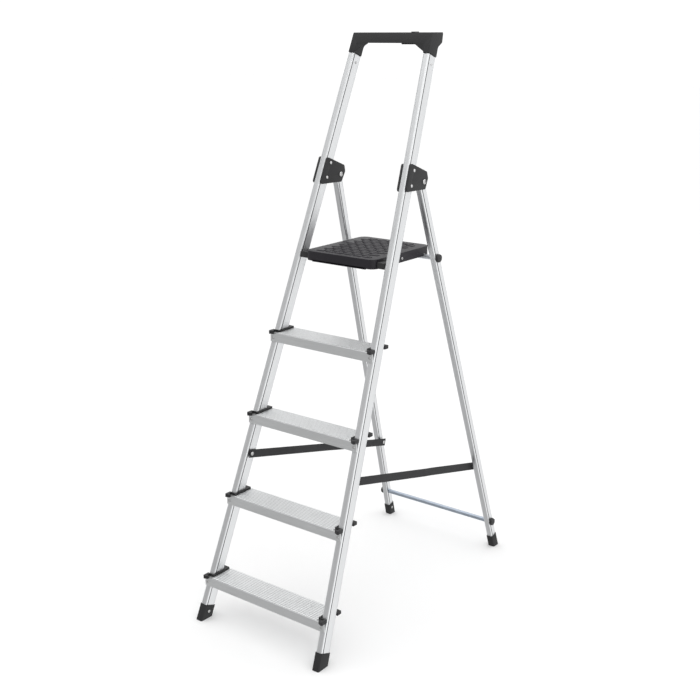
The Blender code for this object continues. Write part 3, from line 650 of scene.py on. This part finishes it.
class LadderColours(bpy.types.PropertyGroup):
    """Base colours of the finishes."""

    aluminium: FloatVectorProperty(
        name="Aluminium", description="Extruded rails and legs", default=(0.80, 0.81, 0.82),
        size=3, min=0, max=1, subtype="COLOR",
    )
    tread: FloatVectorProperty(
        name="Treads", description="Ribbed tread metal", default=(0.80, 0.81, 0.815),
        size=3, min=0, max=1, subtype="COLOR",
    )
    rivet: FloatVectorProperty(
        name="Rivets", description="Rivets and pivot pins", default=(0.70, 0.70, 0.70),
        size=3, min=0, max=1, subtype="COLOR",
    )
    upper_rod: FloatVectorProperty(
        name="Upper rod", description="Plated rod under the platform", default=(0.60, 0.62, 0.65),
        size=3, min=0, max=1, subtype="COLOR",
    )
    lower_rod: FloatVectorProperty(
        name="Lower rod", description="Plated rod between the rear legs' feet", default=(0.40, 0.45, 0.52),
        size=3, min=0, max=1, subtype="COLOR",
    )
    cap: FloatVectorProperty(
        name="Grab bar", description="Grab bar and small mouldings", default=(0.020, 0.020, 0.021),
        size=3, min=0, max=1, subtype="COLOR",
    )
    plate: FloatVectorProperty(
        name="Hinge plates", description="Plastic plates at the fold", default=(0.022, 0.022, 0.023),
        size=3, min=0, max=1, subtype="COLOR",
    )
    platform: FloatVectorProperty(
        name="Platform", description="Standing platform", default=(0.011, 0.0095, 0.0135),
        size=3, min=0, max=1, subtype="COLOR",
    )
    foot: FloatVectorProperty(
        name="Feet", description="Plastic feet", default=(0.016, 0.016, 0.017),
        size=3, min=0, max=1, subtype="COLOR",
    )
    webbing: FloatVectorProperty(
        name="Webbing", description="Woven straps", default=(0.030, 0.030, 0.032),
        size=3, min=0, max=1, subtype="COLOR",
    )


class StageSettings(bpy.types.PropertyGroup):
    """The camera's place and the floor's shade."""

    camera_place: FloatVectorProperty(
        name="Camera", description="Where the camera stands", default=(1.8563, -2.4355, 1.6304),
        size=3, subtype="TRANSLATION", unit="LENGTH",
    )
    camera_turn: FloatVectorProperty(
        name="Camera turn", description="Camera's pan, tilt and roll", default=(0.6588, -0.2837, -0.0041),
        size=3, subtype="EULER", unit="ROTATION",
    )
    camera_lens: FloatProperty(
        name="Lens", description="Focal length on a 36 mm sensor", default=56.549, min=10, max=300,
        subtype="DISTANCE_CAMERA",
    )
    floor_colour: FloatVectorProperty(
        name="Floor", description="Pale floor", default=(0.93, 0.93, 0.93),
        size=3, min=0, max=1, subtype="COLOR",
    )


# ---------------------------------------------------------------- pieces


def grooved_tube(name, width, depth, length, corner, wall, groove_at, groove, sink):
    """A rounded box tube on the Z axis, with a groove down both sides near its front and a shallow
    flute down its front and back."""
    half, deep = width / 2, depth / 2
    tube = block(name, (-half, -deep, 0), (half, deep, length))
    open_mesh(tube)
    select(tube, "faces", lambda face: abs(face.normal.z) > 0.9)
    bpy.ops.mesh.delete(type="ONLY_FACE")
    select(tube, "edges", lambda edge: along(edge, 2))
    bpy.ops.mesh.bevel(offset=corner, segments=5, affect="EDGES")
    near, far = groove_at - deep, deep - groove_at
    for level in (near, near + groove, far, far + groove):
        bpy.ops.mesh.select_all(action="SELECT")
        bpy.ops.mesh.bisect(plane_co=(0, level, 0), plane_no=(0, 1, 0))
    for level in (-half * 0.42, half * 0.42):
        bpy.ops.mesh.select_all(action="SELECT")
        bpy.ops.mesh.bisect(plane_co=(level, 0, 0), plane_no=(1, 0, 0))
    for axis, other, centre, reach, depth_share in (
        (0, 1, near + groove / 2, groove / 2, 1.0),
        (0, 1, far + groove / 2, groove / 2, 0.2),
        (1, 0, 0.0, half * 0.4, 0.25),
    ):
        select(
            tube, "faces",
            lambda face: abs(face.normal[axis]) > 0.9
            and abs(face.calc_center_median()[other] - centre) < reach,
        )
        sinking = {"value": -sink * depth_share}
        bpy.ops.mesh.extrude_region_shrink_fatten(TRANSFORM_OT_shrink_fatten=sinking)
    close_mesh()
    modify(tube, "SOLIDIFY", thickness=wall, offset=-1, use_even_offset=True)
    return smooth(tube, 35)


def button(name, radius, dome, length, shank, both, hollow):
    """A rivet on the Z axis whose head's seat is at z = 0: a rounded head, a shank and perhaps a
    far head."""
    head = drum(name, radius, -0.0001, dome)
    open_mesh(head)
    select(head, "edges", lambda edge: min(v.co.z for v in edge.verts) > dome * 0.9)
    bpy.ops.mesh.bevel(offset=dome * 0.8, segments=4, affect="EDGES")
    select(head, "faces", lambda face: face.normal.z > 0.95)
    bpy.ops.mesh.inset(thickness=radius * 0.22, depth=dome * 0.06)
    if hollow:
        bpy.ops.mesh.inset(thickness=radius * 0.16, depth=0)
        bpy.ops.mesh.inset(thickness=radius * 0.05, depth=-dome * 0.7)
    close_mesh()
    pieces = [head]
    if both:
        far_end = Matrix.Translation((0, 0, -length)) @ Matrix.Rotation(math.pi, 4, "X")
        pieces.append(copied(head, name, far_end))
    pieces.append(drum(name, shank, -length, 0, 20))
    return smooth(joined(name, pieces), 40)


def aimed(point, direction):
    turn = Vector(direction).to_track_quat("Z", "Y").to_matrix().to_4x4()
    return Matrix.Translation(point) @ turn


def settings():
    return bpy.context.scene.step_ladder_sizes, bpy.context.scene.step_ladder_colours


class LADDER_OT_rails(bpy.types.Operator):
    """Model the two front rails as grooved aluminium extrusions"""

    bl_idname = "ladder.rails"
    bl_label = "Front Rails"

    def execute(self, context):
        sizes, colours = settings()
        groove_at = sizes.rail_corner * 1.1
        for name in SIDES:
            node = f"front_rail_{name}"
            placement, length = line_of(node, RAIL_ENDS)
            tube = grooved_tube(
                f"rail_{name}", sizes.rail_width, sizes.rail_depth, length, sizes.rail_corner,
                sizes.rail_wall, groove_at, sizes.groove_width, sizes.groove_depth,
            )
            place(tube, placement)
            metal = drawn_aluminium(
                f"rail_aluminium_{name}", colours.aluminium, placement, sizes.rail_width / 2,
                sizes.rail_depth, groove_at, sizes.groove_width,
            )
            finish_piece(tube, "front_frame", metal, "extruded_aluminium", node)
        return {"FINISHED"}


class LADDER_OT_legs(bpy.types.Operator):
    """Model the two rear legs as slimmer grooved extrusions"""

    bl_idname = "ladder.legs"
    bl_label = "Rear Legs"

    def execute(self, context):
        sizes, colours = settings()
        for name in SIDES:
            node = f"rear_leg_{name}"
            placement, length = line_of(node, LEG_ENDS)
            tube = grooved_tube(
                f"leg_{name}", sizes.leg_width, sizes.leg_depth, length, sizes.rail_corner * 0.85,
                sizes.rail_wall, sizes.rail_corner, sizes.groove_width, sizes.groove_depth * 0.8,
            )
            place(tube, placement)
            metal = drawn_aluminium(
                f"leg_aluminium_{name}", colours.aluminium, placement, sizes.leg_width / 2,
                sizes.leg_depth, sizes.rail_corner, sizes.groove_width,
            )
            finish_piece(tube, "rear_frame", metal, "extruded_aluminium", node)
        return {"FINISHED"}


class LADDER_OT_treads(bpy.types.Operator):
    """Round off the four treads and lay the ribs along their tops"""

    bl_idname = "ladder.treads"
    bl_label = "Treads"

    def execute(self, context):
        sizes, colours = settings()
        tops = [corners(f"tread_{index}")[1].z for index in (1, 2)]
        metal = tread_aluminium(
            "tread_metal", colours.tread, CUT_SPACING, tops[0], tops[1] - tops[0], sizes.rib_height
        )
        for index in range(1, TREADS + 1):
            node = f"tread_{index}"
            low, high = corners(node)
            body = softened(node, f"tread_body_{index}", TREAD_EDGE, 2)
            finish_piece(body, "front_frame", metal, "tread_aluminium", node)
            half = -corners(f"tread_clip_left_{index}")[1].x - RIB_END_MARGIN
            first, last = low.y + RIB_SIDE_MARGIN, high.y - RIB_SIDE_MARGIN
            pitch = (last - first) / (sizes.rib_count - 1)
            width = pitch * RIB_SHARE
            top = high.z
            rib = block(
                f"tread_ribs_{index}", (-half, first - width / 2, top - 0.0006),
                (half, first + width / 2, top + sizes.rib_height),
            )
            open_mesh(rib)
            select(rib, "edges", lambda edge: along(edge, 0) and edge.verts[0].co.z > top)
            bpy.ops.mesh.bevel(offset=sizes.rib_height * 0.8, segments=2, affect="EDGES")
            close_mesh()
            repeat(rib, sizes.rib_count, (0, pitch, 0))
            smooth(rib, 60)
            finish_piece(rib, "front_frame", metal, "tread_aluminium")
        return {"FINISHED"}


class LADDER_OT_clips(bpy.types.Operator):
    """Round off the plastic clips at the treads' ends"""

    bl_idname = "ladder.clips"
    bl_label = "Tread Clips"

    def execute(self, context):
        plastic = moulded_plastic("clip_plastic", settings()[1].foot, 0.42, 0.0007, 0.18)
        for index in range(1, TREADS + 1):
            for name in SIDES:
                node = f"tread_clip_{name}_{index}"
                clip = softened(node, f"clip_{name}_{index}", CLIP_EDGE, 3)
                finish_piece(clip, "front_frame", plastic, "black_plastic", node)
        return {"FINISHED"}


class LADDER_OT_cap(bpy.types.Operator):
    """Round off the grab bar, and add the hanging hook's two ends that show above and below it"""

    bl_idname = "ladder.cap"
    bl_label = "Grab Bar"

    def execute(self, context):
        plastic = moulded_plastic("grab_bar_plastic", settings()[1].cap, 0.50, 0.0009, 0.22)
        cap = softened("top_cap", "grab_bar", CAP_EDGE, 3)
        finish_piece(cap, "front_frame", plastic, "black_plastic", "top_cap")
        low, high = corners("top_cap")
        middle = (high.y + low.y) / 2 + HOOK_BACK
        nub = block(
            "hook_top", (HOOK_TOP[0], middle - 0.012, high.z - 0.002),
            (HOOK_TOP[1], middle + 0.012, high.z + 0.0022),
        )
        modify(nub, "BEVEL", width=0.0011, segments=3)
        under = high.z - GRAB_BAR_THICKNESS
        tab = block(
            "hook_under", (HOOK_UNDER[0], middle - 0.016, under - 0.0036),
            (HOOK_UNDER[1], middle + 0.008, under + 0.002),
        )
        modify(tab, "BEVEL", width=0.0017, segments=3)
        hook = smooth(joined("hanging_hook", [nub, tab]), 40)
        finish_piece(hook, "front_frame", plastic, "black_plastic")
        return {"FINISHED"}


class LADDER_OT_plates(bpy.types.Operator):
    """Round off the hinge plates and the brackets that carry the platform"""

    bl_idname = "ladder.plates"
    bl_label = "Hinge Plates and Brackets"

    def execute(self, context):
        colours = settings()[1]
        plate_plastic = moulded_plastic("hinge_plate_plastic", colours.plate, 0.50, 0.0008, 0.20)
        bracket_plastic = moulded_plastic("bracket_plastic", colours.cap, 0.45, 0.0008, 0.18)
        for name in SIDES:
            for face in ("outer", "inner"):
                node = f"hinge_plate_{name}_{face}"
                plate = softened(node, f"fold_plate_{name}_{face}", PLATE_EDGE, 3)
                finish_piece(plate, "front_frame", plate_plastic, "dark_grey_plate", node)
            node = f"platform_bracket_{name}"
            bracket = softened(node, f"bracket_{name}", BRACKET_EDGE, 3)
            finish_piece(bracket, "front_frame", bracket_plastic, "black_plastic", node)
        return {"FINISHED"}


class LADDER_OT_platform(bpy.types.Operator):
    """Shape the standing platform, its grip pads, the lip under its front and the ribs beneath"""

    bl_idname = "ladder.platform"
    bl_label = "Platform"

    def execute(self, context):
        sizes, colours = settings()
        low, high = corners("platform")
        plastic = moulded_plastic("platform_moulding", colours.platform, 0.40, 0.0011, 0.22, 0.35)
        deck = softened("platform", "platform_deck", DECK_EDGE, 4)
        finish_piece(deck, "platform", plastic, "platform_plastic", "platform")
        self.pads(low, high, sizes, plastic)
        self.underside(low, high, plastic)
        return {"FINISHED"}

    def pads(self, low, high, sizes, plastic):
        """Rows of raised pads, every second row shifted by half a pad."""
        pitch_x, pitch_y = sizes.pad_length * PAD_PITCH[0], sizes.pad_width * PAD_PITCH[1]
        columns = int((high.x - low.x - 2 * PAD_MARGIN + pitch_x - sizes.pad_length) / pitch_x)
        rows = int((high.y - low.y - 2 * PAD_MARGIN + pitch_y - sizes.pad_width) / pitch_y)
        span = (columns - 1) * pitch_x + sizes.pad_length
        deep = (rows - 1) * pitch_y + sizes.pad_width
        start_y = (low.y + high.y - deep) / 2
        fields = []

        def rim(edge):
            heights = [vertex.co.z for vertex in edge.verts]
            inside = min(heights) > high.z and max(heights) < high.z + PAD_RISE + 0.0001
            upright = any(abs(face.normal.z) < 0.1 for face in edge.link_faces)
            return inside and len(edge.link_faces) == 2 and upright

        for shift, count in ((0, columns), (1, columns - 1)):
            x = -span / 2 + shift * pitch_x / 2
            y = start_y + shift * pitch_y
            pad = block(
                f"pads_{shift}", (x, y, high.z - 0.0012),
                (x + sizes.pad_length, y + sizes.pad_width, high.z + PAD_RISE),
            )
            open_mesh(pad)
            select(pad, "faces", lambda face: face.normal.z > 0.9)
            bpy.ops.mesh.inset(thickness=0.0014, depth=0.0005)
            bpy.ops.mesh.inset(thickness=0.0020, depth=0.0004)
            select(pad, "edges", rim)
            bpy.ops.mesh.bevel(offset=0.0009, segments=2, affect="EDGES")
            close_mesh()
            repeat(pad, count, (pitch_x, 0, 0))
            repeat(pad, (rows + 1 - shift) // 2, (0, 2 * pitch_y, 0))
            fields.append(pad)
        pads = smooth(joined("grip_pads", fields), 50)
        finish_piece(pads, "platform", plastic, "platform_plastic")

    def underside(self, low, high, plastic):
        """The lip under the front and the grid of ribs in the hollow."""
        lip = block(
            "platform_lip", (low.x + LIP_INSET, low.y, low.z - 0.0024),
            (high.x - LIP_INSET, low.y + DECK_WALL, low.z + 0.004),
        )
        modify(lip, "BEVEL", width=0.0009, segments=2)
        rib_low, rib_high = high.z - 0.0125, high.z - 0.0028
        runner = block(
            "ribs_long", (LONG_RIB_START, low.y + DECK_WALL, rib_low),
            (LONG_RIB_START + RIB_THICKNESS, high.y - DECK_WALL, rib_high),
        )
        cross_y = low.y + CROSS_RIB_START
        cross = block(
            "ribs_cross", (low.x + DECK_WALL, cross_y, rib_low),
            (high.x - DECK_WALL, cross_y + RIB_THICKNESS, rib_high),
        )
        for rib, step in ((runner, (LONG_RIB_PITCH, 0, 0)), (cross, (0, CROSS_RIB_PITCH, 0))):
            modify(rib, "BEVEL", width=0.0004, segments=1)
            repeat(rib, RIB_COUNT, step)
        under = smooth(joined("platform_ribs", [lip, runner, cross]), 40)
        finish_piece(under, "platform", plastic, "platform_plastic")


class LADDER_OT_feet(bpy.types.Operator):
    """Round off the four plastic feet and rivet them through their inner sides"""

    bl_idname = "ladder.feet"
    bl_label = "Feet"

    def execute(self, context):
        sizes, colours = settings()
        plastic = moulded_plastic("foot_plastic", colours.foot, 0.55, 0.0010, 0.25)
        metal = turned_metal("foot_rivet_metal", colours.rivet, 0.34)
        head = button("foot_rivet", FOOT_RIVET_HEAD, FOOT_RIVET_DOME, 0.004, 0.0022, False, True)
        for name, side in SIDES.items():
            for end, rail, spread, width, height in (
                ("front", f"front_rail_{name}", RAIL_ENDS, sizes.rail_width, FRONT_FOOT_RIVET),
                ("rear", f"rear_leg_{name}", LEG_ENDS, sizes.leg_width, REAR_FOOT_RIVET),
            ):
                body = f"{end}_frame"
                node = f"{end}_foot_{name}"
                foot = softened(node, f"foot_{end}_{name}", FOOT_EDGE, 3)
                finish_piece(foot, body, plastic, "foot_plastic", node)
                placement, _ = line_of(rail, spread)
                start = placement.translation
                up = placement.to_3x3().col[2]
                spot = start + up * ((height - start.z) / up.z)
                across = placement.to_3x3().col[0] * -side
                spot += across * (width / 2 + FOOT_WALL)
                rivet = copied(head, f"foot_rivet_{end}_{name}", aimed(spot, across))
                finish_piece(rivet, body, metal, "rivet_aluminium")
        discard(head)
        return {"FINISHED"}


class LADDER_OT_rods(bpy.types.Operator):
    """Finish the cross rods and model the domed plugs at their ends"""

    bl_idname = "ladder.rods"
    bl_label = "Cross Rods and Plugs"

    def execute(self, context):
        colours = settings()[1]
        plastic = moulded_plastic("plug_plastic", colours.cap, 0.38, 0.0006, 0.12)
        for level, colour in (("upper", colours.upper_rod), ("lower", colours.lower_rod)):
            node = f"{level}_cross_rod"
            steel = plated_steel(f"{level}_rod_plating", colour)
            frame["nodes"][node].material_slots[0].material = steel
            for name, side in SIDES.items():
                node = f"{level}_rod_plug_{name}"
                low, high = corners(node)
                radius = (high.z - low.z) / 2
                tip = high.x if side > 0 else -low.x
                plug = self.plug(f"plug_{level}_{name}", radius)
                centre = (low + high) / 2
                spot = Vector((side * (tip - PLUG_SEAT), centre.y, centre.z))
                place(smooth(plug, 40), aimed(spot, (side, 0, 0)))
                finish_piece(plug, "rear_frame", plastic, "black_plastic", node)
        return {"FINISHED"}

    def plug(self, name, radius):
        """A domed plug on the Z axis, its stem below."""
        plug = drum(name, radius, -0.0004, PLUG_SEAT * 0.96, 40)
        open_mesh(plug)
        select(plug, "edges", lambda edge: min(v.co.z for v in edge.verts) > PLUG_SEAT * 0.9)
        bpy.ops.mesh.bevel(offset=PLUG_SEAT * 0.72, segments=7, affect="EDGES")
        select(plug, "faces", lambda face: face.normal.z > 0.98)
        bpy.ops.mesh.inset(thickness=radius * 0.3, depth=PLUG_SEAT * 0.05)
        select(plug, "faces", lambda face: face.normal.z < -0.98)
        bpy.ops.mesh.inset(thickness=radius * 0.5, depth=0)
        bpy.ops.mesh.extrude_region_move(TRANSFORM_OT_translate={"value": (0, 0, -PLUG_STEM)})
        close_mesh()
        return plug


class LADDER_OT_rivets(bpy.types.Operator):
    """Model the rivets and pivot pins"""

    bl_idname = "ladder.rivets"
    bl_label = "Rivets and Pins"

    def execute(self, context):
        colours = settings()[1]
        metal = turned_metal("rivet_metal", colours.rivet, 0.30)
        forward = Vector((0, -1, 0))
        jobs = []
        for name, side in SIDES.items():
            out = Vector((side, 0, 0))
            for index in range(1, TREADS + 1):
                jobs.append((f"tread_rivet_{name}_{index}", forward, RIVET_HEAD, False, True))
            jobs.append((f"top_cap_rivet_{name}", out, CAP_RIVET_HEAD, True, False))
            jobs.append((f"hinge_rivet_{name}_upper", out, RIVET_HEAD, True, False))
            jobs.append((f"hinge_rivet_{name}_lower", out, RIVET_HEAD, True, False))
            jobs.append((f"leg_pivot_pin_{name}", out, PIN_HEAD, True, True))
            jobs.append((f"platform_pivot_pin_{name}", -out, PIN_HEAD, False, False))
            jobs.append((f"strap_front_rivet_{name}", -out, STRAP_RIVET_HEAD, False, True))
            jobs.append((f"strap_rear_rivet_{name}", -out, STRAP_RIVET_HEAD, False, True))
        for node, direction, radius, both, hollow in jobs:
            tip, tail = shank_of(node, direction)
            axis = (tip - tail).normalized()
            length = (tip - tail).length - RIVET_DOME * (2 if both else 1)
            shank = radius * SHANK_SHARE
            rivet = button(f"{node}_head", radius, RIVET_DOME, length, shank, both, hollow)
            place(rivet, aimed(tip - axis * RIVET_DOME, axis))
            finish_piece(rivet, body_of(node), metal, "rivet_aluminium", node)
        low, high = corners("platform")
        for name, side in SIDES.items():
            stud = button(f"platform_stud_{name}", STUD_HEAD, STUD_DOME, 0.002, 0.002, False, True)
            spot = Vector((side * high.x, low.y + STUD_BACK, high.z - STUD_DROP))
            place(stud, aimed(spot, (side, 0, 0)))
            finish_piece(stud, "platform", metal, "rivet_aluminium")
        return {"FINISHED"}


class LADDER_OT_straps(bpy.types.Operator):
    """Weave the two webbing straps, each a flat band that steps sideways where its CAD halves lap"""

    bl_idname = "ladder.straps"
    bl_label = "Webbing Straps"

    def execute(self, context):
        sizes, colours = settings()
        half, thick = sizes.strap_width / 2, STRAP_HALF_THICKNESS
        for name in SIDES:
            front = Vector(JOINTS[f"strap_{name}_swing"]["pos_m"])
            knee = Vector(JOINTS[f"strap_{name}_crease"]["pos_m"])
            low, high = corners(f"strap_rear_rivet_{name}")
            rear = (low + high) / 2
            run = Vector((0, rear.y - front.y, rear.z - front.z))
            slope = math.atan2(run.z, run.y)
            band = block(
                f"webbing_{name}", (-thick, -STRAP_END, -half), (thick, run.length + STRAP_END, half)
            )
            open_mesh(band)
            select(band, "edges", lambda edge: along(edge, 1))
            bpy.ops.mesh.subdivide(number_cuts=STRAP_CUTS)
            for inset in STRAP_HEM:
                for level in (-half + inset, half - inset):
                    bpy.ops.mesh.select_all(action="SELECT")
                    bpy.ops.mesh.bisect(plane_co=(0, 0, level), plane_no=(0, 0, 1))
            select(
                band, "faces",
                lambda face: abs(face.normal.x) > 0.9
                and half - 0.0036 < abs(face.calc_center_median().z) < half - 0.0016,
            )
            bpy.ops.transform.shrink_fatten(value=-0.00022)
            close_mesh()
            shift = knee.x - front.x
            bend = (Vector((0, knee.y, knee.z)) - Vector((0, front.y, front.z))).length
            for vertex in band.data.vertices:
                share = (vertex.co.y - bend) / STRAP_SHIFT_RUN + 0.5
                share = min(1.0, max(0.0, share))
                vertex.co.x += shift * share * share * (3 - 2 * share)
            modify(
                band, "BEVEL", width=0.00035, segments=2, limit_method="ANGLE",
                angle_limit=math.radians(50),
            )
            smooth(band, 40)
            place(band, Matrix.Translation(front) @ Matrix.Rotation(slope, 4, "X"))
            cloth = woven_webbing(f"webbing_weave_{name}", colours.webbing, slope, WEAVE_SPACING)
            band.data.materials.clear()
            band.data.materials.append(cloth)
            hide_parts(f"strap_{name}_front", f"strap_{name}_rear")
            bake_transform(band)
        return {"FINISHED"}


class LADDER_OT_stage(bpy.types.Operator):
    """Set the pale floor, the soft lights and the camera"""

    bl_idname = "ladder.stage"
    bl_label = "Stage"

    def execute(self, context):
        stage = context.scene.step_ladder_stage
        bpy.ops.object.select_all(action="DESELECT")
        bpy.ops.mesh.primitive_plane_add(size=60, location=(0, 0, 0))
        floor = named(bpy.context.active_object, "floor")
        material, shader = new_finish("floor_paint")
        cloud = shader.noise(shader.object_place(), 2.0, 2)
        set_surface(
            shader,
            Base_Color=shader.blend(cloud, shade(stage.floor_colour, 0.99), stage.floor_colour),
            Roughness=0.9,
            Specular_IOR_Level=0.0,
        )
        floor.data.materials.append(material)
        floor.visible_glossy = False

        world = bpy.data.worlds.new("studio")
        context.scene.world = world
        world.use_nodes = True
        sky = Shader(world.node_tree)
        x, y, z = sky.parts(sky.node("ShaderNodeTexCoord", {}, {}, "Generated"))
        behind = sky.ramp(y * 0.5 + 0.5, 0.20, 0.80) * 0.52 + 0.46
        right = sky.ramp(x * 0.5 + 0.5, 0.72, 0.90) * 1.25
        overhead = sky.ramp(z, 0.36, 0.75) * 1.9
        mirrored = behind.math("MAXIMUM", right).math("MAXIMUM", overhead)
        glossy = sky.node("ShaderNodeLightPath", {}, {}, "Is Glossy Ray")
        background = world.node_tree.nodes["Background"]
        sky.feed(background.inputs["Strength"], mirrored * glossy + (1 - glossy) * 1.09)
        sky.feed(background.inputs["Color"], (1, 1, 1, 1))

        for name, spot, size, power in (
            ("key", (3.0, -2.4, 4.2), 3.0, 16),
            ("fill", (-3.2, -2.6, 3.4), 3.2, 5),
            ("top", (0.0, 0.6, 4.6), 4.0, 14),
        ):
            bpy.ops.object.select_all(action="DESELECT")
            bpy.ops.object.light_add(type="AREA", location=spot)
            light = bpy.context.active_object
            light.name = f"{name}_light"
            light.data.shape = "DISK"
            light.data.size = size
            light.data.energy = power
            light.visible_glossy = False
            aim = Vector((0, 0, 0.7)) - Vector(spot)
            light.rotation_euler = aim.to_track_quat("-Z", "Y").to_euler()

        bpy.ops.object.select_all(action="DESELECT")
        bpy.ops.object.camera_add(location=stage.camera_place)
        camera = bpy.context.active_object
        camera.name = "camera"
        camera.data.sensor_width = 36
        camera.data.lens = stage.camera_lens
        pan, tilt, roll = stage.camera_turn
        forward = Vector((-math.sin(pan), math.cos(pan), 0)) * math.cos(tilt)
        forward.z = math.sin(tilt)
        level = Vector((math.cos(pan), math.sin(pan), 0))
        turn = Matrix((level, level.cross(forward), -forward)).transposed()
        camera.rotation_euler = (turn @ Matrix.Rotation(roll, 3, "Z")).to_euler()
        context.scene.camera = camera
        context.scene.view_settings.view_transform = "Standard"
        return {"FINISHED"}


STEPS = (
    LADDER_OT_stage,
    LADDER_OT_rails,
    LADDER_OT_legs,
    LADDER_OT_treads,
    LADDER_OT_clips,
    LADDER_OT_cap,
    LADDER_OT_plates,
    LADDER_OT_platform,
    LADDER_OT_feet,
    LADDER_OT_rods,
    LADDER_OT_rivets,
    LADDER_OT_straps,
)


class LADDER_PT_panel(bpy.types.Panel):
    """Sidebar panel that lists the ladder's sizes, colours and steps"""

    bl_idname = "LADDER_PT_panel"
    bl_label = "Step Ladder"
    bl_space_type = "VIEW_3D"
    bl_region_type = "UI"
    bl_category = "Step Ladder"

    def draw(self, context):
        scene = context.scene
        for title, group in (
            ("Sizes", scene.step_ladder_sizes),
            ("Colours", scene.step_ladder_colours),
            ("Stage", scene.step_ladder_stage),
        ):
            box = self.layout.box()
            box.label(text=title)
            for name in group.__annotations__:
                box.prop(group, name)
        column = self.layout.column(align=True)
        for step in STEPS:
            column.operator(step.bl_idname)


GROUPS = {
    "step_ladder_sizes": LadderSizes,
    "step_ladder_colours": LadderColours,
    "step_ladder_stage": StageSettings,
}


def register():
    for group in GROUPS.values():
        bpy.utils.register_class(group)
    for name, group in GROUPS.items():
        setattr(bpy.types.Scene, name, PointerProperty(type=group))
    for step in (*STEPS, LADDER_PT_panel):
        bpy.utils.register_class(step)


def unregister():
    for step in reversed((*STEPS, LADDER_PT_panel)):
        bpy.utils.unregister_class(step)
    for name in GROUPS:
        delattr(bpy.types.Scene, name)
    for group in GROUPS.values():
        bpy.utils.unregister_class(group)


def main():
    register()
    for step in STEPS:
        area, action = step.bl_idname.split(".")
        getattr(getattr(bpy.ops, area), action)()


if __name__ == "__main__":
    main()
